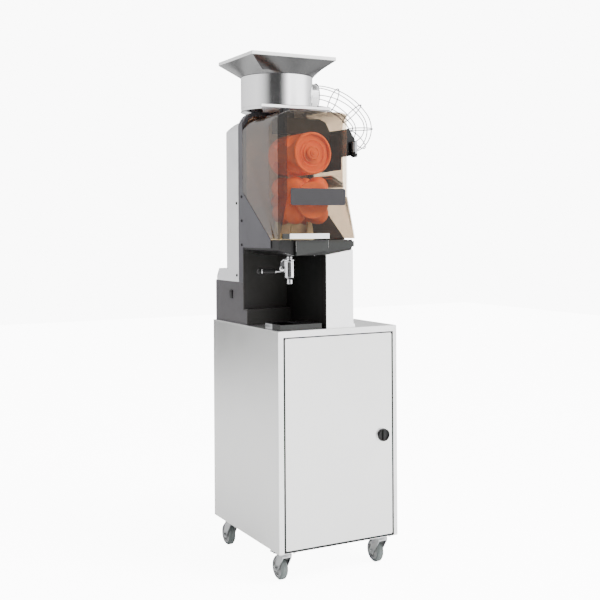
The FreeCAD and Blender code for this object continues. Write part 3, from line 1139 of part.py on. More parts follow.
def wire_chute():
    """Cage of bent wires that leads from the bowl's outlet down and round into the side infeed."""
    wires = []
    count = int(float(s.wire_count))
    for number in range(count):
        turn = 2 * math.pi * (number + 0.5) / count
        up = s.chute_r * math.cos(turn)
        aside = s.chute_r * math.sin(turn)
        wires.append(bend(s.chute_arc_r + up, s.wire_r, (chute_start, aside, chute_z),
                          s.chute_fold, 90 - s.chute_fold))
        wires.append(bend(s.curl_r + up, s.wire_r, (curl_x, aside, curl_z), size(-90),
                          s.chute_fold + 90))
    rings = []
    for angle, middle, radius in ((70, (chute_start, chute_z), s.chute_arc_r),
                                  (46, (chute_start, chute_z), s.chute_arc_r),
                                  (0, (curl_x, curl_z), s.curl_r), (-46, (curl_x, curl_z), s.curl_r),
                                  (-90, (curl_x, curl_z), s.curl_r)):
        ring = doc.addObject("Part::Torus", fresh("Torus"))
        bind(ring, "Radius1", ring_r)
        bind(ring, "Radius2", s.wire_r)
        turn = math.radians(angle)
        ring.Placement.Rotation = FreeCAD.Rotation(AXES["Y"], -angle)
        place(ring, middle[0] + radius * math.cos(turn), 0, middle[1] + radius * math.sin(turn))
        rings.append(ring)
    first = doc.addObject("Part::Torus", fresh("Torus"))
    bind(first, "Radius1", ring_r)
    bind(first, "Radius2", s.wire_r)
    first.Placement.Rotation = STAND["X"]
    place(first, chute_start + s.wire_r, 0, outlet_z)
    return group(first, *(wires + rings))


def bend(radius, wire, centre, start, sweep):
    """A wire bent round an axis along Y, from a start angle up through a sweep in degrees."""
    arc = doc.addObject("Part::Torus", fresh("Torus"))
    bind(arc, "Radius1", radius)
    bind(arc, "Radius2", wire)
    bind(arc, "Angle3", sweep)
    lean = FreeCAD.Rotation(AXES["Y"], -float(start))
    arc.Placement.Rotation = lean * FreeCAD.Rotation(AXES["X"], 90)
    place(arc, *centre)
    return arc


def electrics():
    """Rocker switch, mains inlet and the panel screws."""
    out = s.switch_t
    rocker_z = inset((s.switch_z - s.switch_h / 2, s.switch_z + s.switch_h / 2), s.rocker_gap)
    rocker = [(left - out / 2, rocker_z[0]), (left - out, rocker_z[1]), (left + s.wall, rocker_z[1]),
              (left + s.wall, rocker_z[0])]
    half = s.switch_w / 2 - s.seat_gap
    mount("power_switch", prism("XZ", (s.switch_y - half, s.switch_y + half), rocker))
    x = (across(s.inlet_x) - s.inlet_w / 2, across(s.inlet_x) + s.inlet_w / 2)
    z = (s.inlet_z - s.inlet_h / 2, s.inlet_z + s.inlet_h / 2)
    y = (s.body_back - s.inlet_d * 2, s.body_back + s.metal)
    well_y = (y[1] - s.socket_depth, y[1] + s.overrun)
    shell = cut(block(x, y, z), block(inset(x, s.inlet_d), well_y, inset(z, s.inlet_d)))
    mount("power_inlet", shell)

    spots = [(s.screw_y, s.screw_z + s.screw_pitch * number) for number in range(3)]
    spots += [(s.rear_screw_y, s.rear_screw_z + s.rear_screw_pitch * number) for number in range(2)]
    screws = [rod("X", spot, s.screw_r, span) for spot in spots
              for span in ((left - s.screw_h, left), (right, right + s.screw_h))]
    mount("panel_screws", group(*screws))


cabinet()
casters()
base_and_rear()
bay()
collector()
tap()
front_shield()
drums()
knife_and_guides()
feeder()
electrics()
doc.recompute()

for thing in doc.Objects:
    if "Invalid" in thing.State or "Error" in thing.State:
        raise RuntimeError("%s (%s) failed: %s" % (thing.Name, thing.Label, thing.State))
if len({thing.Label for thing in nodes}) != len(nodes):
    raise RuntimeError("two sub-parts share a name")
os.makedirs("parts", exist_ok=True)
for thing in nodes:
    if thing.Shape.isNull() or not thing.Shape.isValid():
        raise RuntimeError("bad shape: " + thing.Label)
    thing.Shape.exportStep("parts/%s.step" % thing.Label)
print(len(nodes), "sub-parts written")
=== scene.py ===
"""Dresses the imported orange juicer: softened edges, fittings, finishes, studio and camera."""

import json
import math

import bpy
from bpy.props import FloatProperty, FloatVectorProperty, PointerProperty
from mathutils import Matrix, Vector

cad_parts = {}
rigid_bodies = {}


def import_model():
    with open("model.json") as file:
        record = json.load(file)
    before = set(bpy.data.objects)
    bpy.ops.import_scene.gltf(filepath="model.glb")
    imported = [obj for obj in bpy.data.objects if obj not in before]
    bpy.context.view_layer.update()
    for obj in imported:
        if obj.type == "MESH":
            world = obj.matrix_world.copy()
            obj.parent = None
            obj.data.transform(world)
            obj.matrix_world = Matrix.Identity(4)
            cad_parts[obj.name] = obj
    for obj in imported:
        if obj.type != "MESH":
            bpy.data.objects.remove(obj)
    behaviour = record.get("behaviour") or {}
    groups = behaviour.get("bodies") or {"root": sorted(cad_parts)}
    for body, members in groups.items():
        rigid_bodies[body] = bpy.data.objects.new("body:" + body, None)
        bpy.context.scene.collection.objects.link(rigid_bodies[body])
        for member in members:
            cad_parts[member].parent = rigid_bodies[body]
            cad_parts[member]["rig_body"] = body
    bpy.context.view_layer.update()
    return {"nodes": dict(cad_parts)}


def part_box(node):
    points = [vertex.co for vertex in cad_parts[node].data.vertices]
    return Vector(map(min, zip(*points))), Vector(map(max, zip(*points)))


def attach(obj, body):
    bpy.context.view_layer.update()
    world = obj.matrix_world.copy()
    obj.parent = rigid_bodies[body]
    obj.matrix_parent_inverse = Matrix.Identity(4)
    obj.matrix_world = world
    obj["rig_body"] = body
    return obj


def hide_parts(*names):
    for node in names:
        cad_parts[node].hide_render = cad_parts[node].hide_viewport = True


bl_info = {
    "name": "Orange juicer dressing",
    "version": (1, 0, 0),
    "blender": (4, 5, 0),
    "location": "View3D > Sidebar > Juicer",
    "description": "Builds the fittings, finishes and studio of a floor-standing orange juicer",
    "category": "Object",
}

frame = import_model()
NODES = frame["nodes"]
LOW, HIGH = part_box("cabinet_top")
MIDDLE = Vector(((LOW.x + HIGH.x) / 2, (LOW.y + HIGH.y) / 2, 0))
MM = 0.001
MERGE = 0.00001
AXIS_TURN = {"X": (0, math.pi / 2, 0), "Y": (-math.pi / 2, 0, 0), "Z": (0, 0, 0)}
CORNERS = ("front_left", "front_right", "back_left", "back_right")


def linear(code):
    """A colour for Blender's shaders from a screen colour such as #D2D2D0."""
    parts = [int(code[i:i + 2], 16) / 255 for i in (1, 3, 5)]
    return tuple(c / 12.92 if c <= 0.04045 else ((c + 0.055) / 1.055) ** 2.4 for c in parts)


def spot(x, y, z):
    """A place in metres from the distances in millimetres to the cabinet's middle and the floor."""
    return Vector((x, y, z)) * MM + MIDDLE


def colour(code, name, text):
    """A colour property."""
    return FloatVectorProperty(name=name, description=text, subtype="COLOR", size=3, min=0, max=1,
                               default=linear(code))


def length(value, name, text):
    """A length property, in metres."""
    return FloatProperty(name=name, description=text, default=value, min=0, subtype="DISTANCE",
                         unit="LENGTH")


class JuicerSizes(bpy.types.PropertyGroup):
    sheet_edge: length(0.0009, "Sheet edge", "Rounding on the edges of bent sheet metal")
    moulded_edge: length(0.0022, "Moulded edge", "Rounding on the edges of moulded plastic")
    cover_edge: length(0.0012, "Cover edge", "Rounding on the creases of the smoked cover")
    small_edge: length(0.0006, "Small edge", "Rounding on small machined pieces")


class JuicerColours(bpy.types.PropertyGroup):
    steel: colour("#EDEDEB", "Steel", "Brushed stainless steel of the cabinet")
    hopper: colour("#D6D6D6", "Hopper", "Satin steel of the hopper and bowl")
    shell: colour("#CBCBCD", "Rear shell", "Paint of the rear cover")
    # The frame colour is a lighter copy of the steel, painted light on the front frame, the cover
    # handle and the hopper lip.
    frame: colour("#F6F6F5", "Front frame", "Brighter steel of the frame round the door")
    chassis: colour("#454448", "Chassis", "Paint of the chassis arch")
    base: colour("#454345", "Base", "Paint of the base housing")
    drum: colour("#FF7626", "Drums", "Plastic of the squeezing drums")
    smoke: colour("#EEE6DB", "Smoked cover", "Colour that the transparent cover lets through")
    haze: colour("#1A1410", "Cover haze", "Brown body of the cover's shiny surface")
    duct: colour("#F1F1F1", "Peel duct", "White plastic of the peel duct")
    pan: colour("#2C2D2C", "Pan", "Dark grey plastic of the collector pan and tray")
    splash: colour("#D2C6AE", "Splash wall", "Plastic of the splash wall")


class JuicerStudio(bpy.types.PropertyGroup):
    key: FloatProperty(name="Key light", description="Power of the large high light", default=380.0,
                       min=0, subtype="POWER", unit="POWER")
    fill: FloatProperty(name="Fill light", description="Power of the left-hand light", default=50.0,
                        min=0, subtype="POWER", unit="POWER")
    sky: FloatProperty(name="Surround", description="Brightness of the white surround", default=1.6,
                       min=0, max=10)
    backdrop: FloatProperty(name="Backdrop", default=12.0, min=0, max=40,
                            description="Brightness of the white behind the machine")
    lens: FloatProperty(name="Lens", description="Focal length of the camera in millimetres",
                        default=59.83, min=10, max=300)


# ---------------------------------------------------------------- selecting and shaping


def deselect():
    """Leave nothing selected."""
    for thing in bpy.data.objects:
        thing.select_set(False)


def pick(thing):
    """Make one object the only selected and the active one."""
    deselect()
    thing.hide_viewport = False
    thing.select_set(True)
    bpy.context.view_layer.objects.active = thing
    return thing


def editing(thing):
    """Open an object for editing with everything selected."""
    pick(thing)
    bpy.ops.object.mode_set(mode="EDIT")
    bpy.ops.mesh.select_mode(type="VERT")
    bpy.ops.mesh.select_all(action="SELECT")


def done():
    """Close editing."""
    bpy.ops.object.mode_set(mode="OBJECT")


def settle(thing):
    """Put the object's place, turn and scale in its mesh."""
    pick(thing)
    bpy.ops.object.transform_apply(location=True, rotation=True, scale=True)
    return thing


def smooth(thing, angle=34):
    """Shade smooth, with edges sharper than the angle kept crisp."""
    pick(thing)
    bpy.ops.object.shade_smooth_by_angle(angle=math.radians(angle))
    return thing


def even(thing):
    """Let the large flat faces keep their own direction beside the rounded edges."""
    pick(thing)
    weigh = thing.modifiers.new("Even", "WEIGHTED_NORMAL")
    weigh.keep_sharp = True
    weigh.weight = 70
    bpy.ops.object.modifier_apply(modifier=weigh.name)
    return thing


def soften(thing, width, segments=2, angle=30):
    """Round the sharp edges with an applied bevel."""
    pick(thing)
    bevel = thing.modifiers.new("Edges", "BEVEL")
    bevel.width = width
    bevel.segments = segments
    bevel.limit_method = "ANGLE"
    bevel.angle_limit = math.radians(angle)
    bevel.miter_outer = "MITER_ARC"
    bpy.ops.object.modifier_apply(modifier=bevel.name)
    return thing


def soft_copy(node, width, segments=2, angle=30):
    """A copy of a CAD node with its faces joined and its edges rounded, which replaces it."""
    source = NODES[node]
    piece = source.copy()
    piece.data = source.data.copy()
    piece.name = node + "_formed"
    piece.parent = None
    for key in list(piece.keys()):
        del piece[key]
    bpy.context.scene.collection.objects.link(piece)
    pick(piece)
    if piece.data.has_custom_normals:
        bpy.ops.mesh.customdata_custom_splitnormals_clear()
    editing(piece)
    bpy.ops.mesh.remove_doubles(threshold=MERGE)
    bpy.ops.mesh.dissolve_limited(angle_limit=math.radians(0.5), use_dissolve_boundaries=False)
    done()
    soften(piece, width, segments, angle)
    even(smooth(piece))
    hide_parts(node)
    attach(piece, source["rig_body"])
    return piece


def block(name, low, high, edge, segments=2):
    """A block between two corners in millimetres, with rounded edges."""
    a, b = spot(*low), spot(*high)
    deselect()
    bpy.ops.mesh.primitive_cube_add(size=1, location=(a + b) / 2)
    piece = bpy.context.object
    piece.name = name
    piece.scale = b - a
    settle(piece)
    editing(piece)
    bpy.ops.mesh.bevel(offset=edge, segments=segments, affect="EDGES")
    done()
    return smooth(piece)


def lathe(name, axis, centre, profile, sides=48):
    """A closed turned piece: profile is (radius, place along the axis) in millimetres."""
    deselect()
    bpy.ops.mesh.primitive_circle_add(vertices=sides, radius=profile[0][0] * MM,
                                      location=(0, 0, profile[0][1] * MM), fill_type="NGON")
    piece = bpy.context.object
    piece.name = name
    settle(piece)
    editing(piece)
    for (r0, h0), (r1, h1) in zip(profile, profile[1:]):
        bpy.ops.mesh.extrude_region_move(TRANSFORM_OT_translate={"value": (0, 0, (h1 - h0) * MM)})
        bpy.ops.transform.resize(value=(r1 / r0, r1 / r0, 1), center_override=(0, 0, h1 * MM))
    bpy.ops.mesh.select_all(action="SELECT")
    bpy.ops.mesh.normals_make_consistent(inside=False)
    done()
    piece.rotation_euler = AXIS_TURN[axis]
    piece.location = spot(*centre)
    settle(piece)
    return smooth(piece, angle=30)


def ring(name, axis, centre, radius, thickness, sides=64, wire=12):
    """A round ring in millimetres."""
    deselect()
    bpy.ops.mesh.primitive_torus_add(major_radius=radius * MM, minor_radius=thickness * MM,
                                     major_segments=sides, minor_segments=wire,
                                     location=spot(*centre), rotation=AXIS_TURN[axis])
    piece = bpy.context.object
    piece.name = name
    settle(piece)
    return smooth(piece, angle=60)


def bolt(name, axis, centre, radius, height, toward):
    """A hexagon head with a chamfered top and a washer face, along the axis or against it."""
    shares = ((1.18, 0), (1.18, 0.14), (1, 0.15), (1, 0.85), (0.86, 1), (0.45, 1.001), (0.40, 0.6))
    profile = [(radius * across, height * up * toward) for across, up in shares]
    return lathe(name, axis, centre, profile, 6)


def cut(piece, place, along):
    """Divide the faces at a plane, at a place in millimetres, so that a finish can stop there."""
    editing(piece)
    bpy.ops.mesh.bisect(plane_co=spot(*place), plane_no=along)
    done()
    return piece


def trim(piece, place, outward):
    """Cut away what lies beyond a plane at a place in millimetres, and close the cut."""
    editing(piece)
    bpy.ops.mesh.bisect(plane_co=spot(*place), plane_no=outward, use_fill=True, clear_outer=True)
    done()
    return piece


def patch(piece, name, inside):
    """Give another finish to the faces whose middle, in millimetres, and normal pass the test."""
    piece.data.materials.append(finish(name))
    last = len(piece.data.materials) - 1
    for face in piece.data.polygons:
        if inside((face.center - MIDDLE) / MM, face.normal):
            face.material_index = last
    return piece


def turned(piece, centre, degrees):
    """Turn a new piece about the upright line through a place in millimetres."""
    middle = spot(*centre)
    turn = Matrix.Rotation(math.radians(degrees), 4, "Z")
    piece.matrix_world = Matrix.Translation(middle) @ turn @ Matrix.Translation(-middle)
    return settle(piece)


def joined(name, pieces):
    """Several pieces as one mesh."""
    deselect()
    for piece in pieces:
        piece.select_set(True)
    bpy.context.view_layer.objects.active = pieces[0]
    bpy.ops.object.join()
    piece = bpy.context.object
    piece.name = name
    return piece


def rod_along(name, points, radius, sides=16):
    """A smooth round rod through places in millimetres, as a mesh."""
    curve = bpy.data.curves.new(name, "CURVE")
    curve.dimensions = "3D"
    curve.bevel_depth = radius * MM
    curve.bevel_resolution = max(2, sides // 4)
    curve.use_fill_caps = True
    line = curve.splines.new("POLY")
    line.points.add(len(points) - 1)
    for target, place in zip(line.points, points):
        target.co = (*spot(*place), 1)
    holder = bpy.data.objects.new(name + "_line", curve)
    bpy.context.scene.collection.objects.link(holder)
    pick(holder)
    bpy.ops.object.convert(target="MESH")
    piece = bpy.context.object
    piece.name = name
    editing(piece)
    bpy.ops.mesh.remove_doubles(threshold=MERGE)
    bpy.ops.mesh.normals_make_consistent(inside=False)
    done()
    return smooth(piece, angle=50)


# ---------------------------------------------------------------- shader nodes


def wire_up(tree, start, end):
    """Connect two sockets."""
    tree.links.new(start, end)


def add_node(tree, kind, operation=None, **values):
    """A shader node, with values for the inputs that are named."""
    made = tree.nodes.new("ShaderNode" + kind)
    if operation:
        made.operation = operation
    for label, value in values.items():
        made.inputs[label.replace("_", " ")].default_value = value
    return made


def combined(tree, operation, first, second, kind="Math"):
    """The sum or product of two sockets."""
    made = add_node(tree, kind, operation)
    wire_up(tree, first, made.inputs[0])
    wire_up(tree, second, made.inputs[1])
    return made.outputs[0]


def ranged(tree, mask, steps="LINEAR", **limits):
    """A mask turned to another range of values."""
    made = add_node(tree, "MapRange", **limits)
    made.interpolation_type = steps
    wire_up(tree, mask, made.inputs["Value"])
    return made.outputs["Result"]


def make_group(name, inputs, output):
    """An empty shader node group with float or vector inputs and one float output."""
    tree = bpy.data.node_groups.new(name, "ShaderNodeTree")
    kinds = {"F": "NodeSocketFloat", "V": "NodeSocketVector"}
    for label, kind, default in (("Vector", "V", None), *inputs):
        socket = tree.interface.new_socket(label, in_out="INPUT", socket_type=kinds[kind])
        if default is not None:
            socket.default_value = default
    tree.interface.new_socket(output, in_out="OUTPUT", socket_type=kinds["F"])
    source, sink = tree.nodes.new("NodeGroupInput"), tree.nodes.new("NodeGroupOutput")
    return tree, source.outputs, sink.inputs[output]


def group_brushing():
    """Fine parallel scratches: the noise is stretched along one direction."""
    tree, given, grain = make_group("Brushing", (
        ("Stretch", "V", (900.0, 900.0, 14.0)), ("Contrast", "F", 1.0)), "Grain")
    place = combined(tree, "MULTIPLY", given["Vector"], given["Stretch"], "VectorMath")
    fine = add_node(tree, "TexNoise", Scale=1.0, Detail=3.0)
    wire_up(tree, place, fine.inputs["Vector"])
    spread = ranged(tree, fine.outputs["Fac"], From_Min=0.32, From_Max=0.68)
    wire_up(tree, combined(tree, "MULTIPLY", spread, given["Contrast"]), grain)
    return tree


def group_handling():
    """Soft cloudy marks left by wiping and handling."""
    tree, given, mask = make_group("Handling marks", (
        ("Scale", "F", 9.0), ("Amount", "F", 0.5)), "Mask")
    clouds = add_node(tree, "TexNoise", Detail=4.0, Distortion=0.6)
    for label in ("Vector", "Scale"):
        wire_up(tree, given[label], clouds.inputs[label])
    spread = ranged(tree, clouds.outputs["Fac"], "SMOOTHSTEP", From_Min=0.38, From_Max=0.72)
    wire_up(tree, combined(tree, "MULTIPLY", spread, given["Amount"]), mask)
    return tree


def group_edges():
    """A mask that is bright on worn convex edges."""
    tree, given, mask = make_group("Edge wear", (("Amount", "F", 0.5),), "Mask")
    shape = add_node(tree, "NewGeometry")
    spread = ranged(tree, shape.outputs["Pointiness"], From_Min=0.53, From_Max=0.62)
    breakup = add_node(tree, "TexNoise", Scale=60.0)
    wire_up(tree, given["Vector"], breakup.inputs["Vector"])
    worn = combined(tree, "MULTIPLY", spread, breakup.outputs["Fac"])
    wire_up(tree, combined(tree, "MULTIPLY", worn, given["Amount"]), mask)
    return tree


def group_pores():
    """The fine leathery texture of moulded plastic and textured paint."""
    tree, given, height = make_group("Moulded texture", (("Scale", "F", 900.0),), "Height")
    cells = add_node(tree, "TexVoronoi")
    grain = add_node(tree, "TexNoise", Detail=2.0)
    for texture in (cells, grain):
        for label in ("Vector", "Scale"):
            wire_up(tree, given[label], texture.inputs[label])
    wire_up(tree, combined(tree, "ADD", cells.outputs["Distance"], grain.outputs["Fac"]), height)
    return tree


GROUP_MAKERS = {"brushing": group_brushing, "handling": group_handling, "edges": group_edges,
                "pores": group_pores}
GROUPS = {}
FINISHES = {}


def shared(name):
    """One of the shared node groups, built the first time it is asked for."""
    if name not in GROUPS:
        GROUPS[name] = GROUP_MAKERS[name]()
    return GROUPS[name]


class Mix:
    """A material under construction, with its shader and object coordinates."""

    def __init__(self, name, **constants):
        self.material = bpy.data.materials.new(name)
        self.material.use_nodes = True
        self.tree = self.material.node_tree
        self.shader = self.tree.nodes["Principled BSDF"]
        for label, value in constants.items():
            self.shader.inputs[label.replace("_", " ")].default_value = value
        self.place = add_node(self.tree, "TexCoord").outputs["Object"]

    def group(self, kind, **values):
        """What a shared group gives in object coordinates."""
        made = add_node(self.tree, "Group")
        made.node_tree = shared(kind)
        wire_up(self.tree, self.place, made.inputs["Vector"])
        for label, value in values.items():
            made.inputs[label].default_value = value
        return made.outputs[0]

    def tint(self, below, marks, mask):
        """Go from a colour, or a colour socket, to another colour by a mask."""
        made = add_node(self.tree, "Mix")
        made.data_type = "RGBA"
        made.inputs["B"].default_value = (*marks, 1)
        if isinstance(below, bpy.types.NodeSocket):
            wire_up(self.tree, below, made.inputs["A"])
        else:
            made.inputs["A"].default_value = (*below, 1)
        wire_up(self.tree, mask, made.inputs["Factor"])
        return made.outputs["Result"]

    def span(self, mask, low, high):
        """A mask turned to a range of values."""
        return ranged(self.tree, mask, To_Min=low, To_Max=high)

    def bump(self, height, strength, distance):
        """Fine relief by a height."""
        made = add_node(self.tree, "Bump", Strength=strength, Distance=distance)
        wire_up(self.tree, height, made.inputs["Height"])
        self.feed("Normal", made.outputs["Normal"])

    def feed(self, label, socket):
        """Connect a socket to one of the shader's inputs."""
        wire_up(self.tree, socket, self.shader.inputs[label])


def shade(colour_value, factor):
    """A colour made lighter or darker."""
    return tuple(min(1.0, max(0.0, c * factor)) for c in colour_value)


def brushed(name, base, roughness, stretch, contrast=1.0, depth=0.00002):
    """Brushed metal: grain in roughness, colour and relief, with faint wiping marks."""
    mix = Mix(name, Metallic=1.0)
    grain = mix.group("brushing", Stretch=stretch, Contrast=contrast)
    wiped = mix.group("handling", Scale=5.0, Amount=0.35)
    tint = mix.tint(base, shade(base, 0.94), grain)
    mix.feed("Base Color", mix.tint(tint, shade(base, 0.95), wiped))
    mix.feed("Roughness", combined(mix.tree, "ADD", mix.span(grain, -0.03, 0.03),
                                   mix.span(wiped, roughness, roughness + 0.08)))
    mix.bump(grain, 0.2, depth)
    return mix.material


def polished(name, base, roughness):
    """Polished metal with fine handling marks and duller edges."""
    mix = Mix(name, Metallic=1.0)
    wiped = mix.group("handling", Scale=40.0, Amount=0.5)
    mix.feed("Base Color", mix.tint(base, shade(base, 0.82), mix.group("edges", Amount=0.5)))
    mix.feed("Roughness", mix.span(wiped, roughness, roughness + 0.12))
    return mix.material


def painted(name, base, roughness, scale=1400.0, depth=0.00003):
    """Fine textured paint, lighter where its edges are worn."""
    mix = Mix(name, Specular_IOR_Level=0.3)
    wiped = mix.group("handling", Scale=7.0, Amount=0.6)
    tint = mix.tint(base, shade(base, 0.88), wiped)
    mix.feed("Base Color", mix.tint(tint, shade(base, 1.5), mix.group("edges", Amount=0.5)))
    mix.feed("Roughness", mix.span(wiped, roughness, roughness + 0.1))
    mix.bump(mix.group("pores", Scale=scale), 0.3, depth)
    return mix.material


def moulded(name, base, roughness, scale=2200.0, depth=0.00002, coat=0.0, marks=0.5, gloss=0.5):
    """Moulded plastic with a faint texture, cloudy colour and scuffed edges."""
    mix = Mix(name, Coat_Weight=coat, Coat_Roughness=0.08, Specular_IOR_Level=gloss)
    wiped = mix.group("handling", Scale=14.0, Amount=marks)
    tint = mix.tint(base, shade(base, 0.85), wiped)
    mix.feed("Base Color", mix.tint(tint, shade(base, 1.35), mix.group("edges", Amount=0.4)))
    mix.feed("Roughness", mix.span(wiped, roughness, roughness + 0.12))
    mix.bump(mix.group("pores", Scale=scale), 0.25, depth)
    return mix.material


def smoked(name, clear, haze, least=0.12, most=0.8):
    """Clear smoke-brown plastic: tinted where looked through, mirror-like at glancing angles."""
    mix = Mix(name, IOR=3.0)
    wiped = mix.group("handling", Scale=6.0, Amount=0.6)
    mix.feed("Base Color", mix.tint(haze, shade(haze, 1.3), wiped))
    mix.feed("Roughness", mix.span(wiped, 0.03, 0.07))
    glance = add_node(mix.tree, "LayerWeight", Blend=0.42)
    film = add_node(mix.tree, "BsdfTransparent", Color=(*clear, 1))
    rays = add_node(mix.tree, "LightPath")
    share = combined(mix.tree, "MULTIPLY", mix.span(glance.outputs["Facing"], least, most),
                     mix.span(rays.outputs["Is Shadow Ray"], 1.0, 0.0))
    blend_shaders(mix.tree, share, film, mix.shader, "Material Output")
    return mix.material


def blend_shaders(tree, share, first, second, output):
    """Show a share of the second shader over the first."""
    blend = add_node(tree, "MixShader")
    for socket, end in zip((share, first.outputs[0], second.outputs[0]), blend.inputs):
        wire_up(tree, socket, end)
    wire_up(tree, blend.outputs[0], tree.nodes[output].inputs["Surface"])


def rubber(name, base):
    """Rubber with dust in its texture."""
    mix = Mix(name, Specular_IOR_Level=0.3)
    dust = mix.group("handling", Scale=60.0, Amount=0.7)
    mix.feed("Base Color", mix.tint(base, shade(base, 1.3), dust))
    mix.feed("Roughness", mix.span(dust, 0.6, 0.85))
    mix.bump(mix.group("pores", Scale=700.0), 0.4, 0.00006)
    return mix.material


def finish(name):
    """A finish of this machine by name, made the first time it is asked for."""
    if name in FINISHES:
        return FINISHES[name]
    hues = bpy.context.scene.juicer_colours
    upright = (800.0, 800.0, 9.0)
    cast = (300.0, 300.0, 300.0)
    sheet = ((500.0, 500.0, 500.0), 0.5, 0.00001)
    makers = {
        "cabinet steel": lambda: brushed(name, hues.steel, 0.34, upright, 0.5),
        # A lighter copy of the cabinet steel: painted light for the frame and the cover handle.
        "frame painted light steel": lambda: brushed(name, hues.frame, 0.42, upright, 0.4),
        # Copies of the hopper's steel: darker for its outside and left faces as painted shade,
        # lighter on its lip as a painted highlight; the inner faces keep the plain colour.
        "hopper painted shade steel": lambda: brushed(name, shade(hues.hopper, 0.13), 0.3, *sheet),
        "hopper side painted shade steel": lambda: brushed(name, shade(hues.hopper, 0.34), 0.3, *sheet),
        "inner steel": lambda: brushed(name, hues.hopper, 0.3, *sheet),
        "lip painted highlight steel": lambda: brushed(name, hues.frame, 0.4, sheet[0], 0.4, sheet[2]),
        # A lighter copy of the hopper's steel, painted light so that the bowl's bright band reaches
        # white.
        "bowl painted light steel": lambda: brushed(name, shade(hues.hopper, 1.35), 0.18, (9.0, 9.0, 900.0)),
        "satin steel": lambda: brushed(name, linear("#D4D4D2"), 0.26, (12.0, 700.0, 700.0)),
        "turned steel": lambda: brushed(name, linear("#BEBEC0"), 0.24, (900.0, 20.0, 900.0)),
        "chrome": lambda: polished(name, linear("#E9E9EB"), 0.06),
        "wire steel": lambda: polished(name, linear("#A8A8AA"), 0.16),
        "grid steel": lambda: brushed(name, linear("#3C3C3E"), 0.35, cast, 0.5),
        "zinc": lambda: brushed(name, linear("#B9BBBC"), 0.3, cast, 0.5),
        "rear paint": lambda: painted(name, hues.shell, 0.36),
        "chassis paint": lambda: painted(name, hues.chassis, 0.4),
        "base paint": lambda: painted(name, hues.base, 0.42, 900.0, 0.00005),
        "motor paint": lambda: painted(name, linear("#2A2B2D"), 0.45, 700.0, 0.00006),
        "drum plastic": lambda: moulded(name, hues.drum, 0.3, 1500.0, 0.000015, 0.1, 0.3),
        "smoked plastic": lambda: smoked(name, hues.smoke, hues.haze),
        # Copies of the smoked plastic for the cover's bevels: a darker, less clear one as painted
        # shade, a lighter, clearer one as a painted highlight.
        "cover painted shade band": lambda: smoked(name, shade(hues.smoke, 0.6), hues.haze, 0.04, 0.4),
        "cover painted highlight band": lambda: smoked(name, (0.97, 0.96, 0.94), hues.smoke, 0.03, 0.2),
        "white plastic": lambda: moulded(name, hues.duct, 0.3, coat=0.2, marks=0.12),
        "pan plastic": lambda: moulded(name, hues.pan, 0.36, 1400.0, 0.00003, gloss=0.22),
        "splash plastic": lambda: moulded(name, hues.splash, 0.4, marks=0.4),
        "bay plastic": lambda: moulded(name, linear("#2E2D2B"), 0.5, 1200.0, 0.00004, gloss=0.25),
        # Near-black plastic, painted as shade on the bay liner's right part.
        "bay shadow black": lambda: moulded(name, linear("#0B0A09"), 0.55, 1200.0, 0.00004, gloss=0.1),
        "black plastic": lambda: moulded(name, linear("#0F0F0F"), 0.38, 1100.0, 0.00004, gloss=0.3),
        # Black rubber for seals and edgings that also stand for shadow lines in gaps: painted
        # shadow.
        "shadow seal rubber": lambda: rubber(name, linear("#0B0B0B")),
        "guide plastic": lambda: moulded(name, linear("#242221"), 0.5, gloss=0.3),
        "bearing plastic": lambda: moulded(name, linear("#E6E3DA"), 0.35),
        "comb plastic": lambda: moulded(name, linear("#EFE6BE"), 0.3, coat=0.2),
        "plate plastic": lambda: moulded(name, linear("#2D2C2E"), 0.36, 1800.0, gloss=0.25),
        "bin plastic": lambda: moulded(name, linear("#3A3C3E"), 0.5, 600.0, 0.00008),
        "caster core": lambda: moulded(name, linear("#9B9D9D"), 0.42),
        "tyre rubber": lambda: rubber(name, linear("#5E6463")),
    }
    FINISHES[name] = makers[name]()
    return FINISHES[name]


def dress(piece, name, body=None):
    """Give a piece its finish and the body it moves with."""
    material = finish(name)
    if len(piece.material_slots):
        for held in piece.material_slots:
            held.material = material
    else:
        piece.data.materials.append(material)
    if body:
        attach(piece, body)
    return piece


def formed(node, name, width, segments=2, angle=30):
    """A softened copy of a CAD node with its finish."""
    return dress(soft_copy(node, width, segments, angle), name)


def carry(node, name):
    """Keep a CAD node as it is and give it its finish."""
    return dress(NODES[node], name)


class Builder:
    """What the operators share."""

    bl_options = {"REGISTER", "UNDO"}

    def sizes(self):
        """The roundings that the panel offers."""
        return bpy.context.scene.juicer_sizes


class JUICER_OT_cabinet(Builder, bpy.types.Operator):
    """Cabinet shell, worktop, front frame with its black seals as painted shadow in the gaps, and
    bin.
    """

    bl_idname = "juicer.cabinet"
    bl_label = "Cabinet"

    def execute(self, context):
        sizes = self.sizes()
        formed("cabinet_shell", "cabinet steel", sizes.sheet_edge)
        formed("cabinet_top", "cabinet steel", sizes.sheet_edge)
        formed("front_frame", "frame painted light steel", sizes.sheet_edge)
        formed("waste_bin", "bin plastic", sizes.moulded_edge * 0.6)
        carry("hinge_pins", "turned steel")
        corner_x, corner_y, heights = 229.4, -269.2, (110, 470, 834)
        for side, word in ((-1, "left"), (1, "right")):
            places = [(side * corner_x, corner_y, z) for z in heights]
            seam = rod_along("corner_weld_" + word, places, 0.5, 8)
            dress(seam, "cabinet steel", "cabinet")
        left, left_in, right_in, right = -211.6, -207.2, 210.9, 215.4
        low, low_in, high_in, high = 109.6, 113.9, 815.2, 817.3
        front, shallow, deep = -270.4, -262, -252
        # Painted shadow: black rubber seals, wider than a real gasket, stand for the shade in the
        # door gap.
        shadow_seals = [block("seal", start, end, 0.0003) for start, end in (
            ((right_in, front, low), (right, deep, high)),
            ((left, front, low), (left_in, shallow, high)),
            ((left, front, low), (right, deep, low_in)),
            ((left, front, high_in), (right, deep, high)))]
        dress(joined("frame_shadow_seals", shadow_seals), "shadow seal rubber", "cabinet")
        return {"FINISHED"}


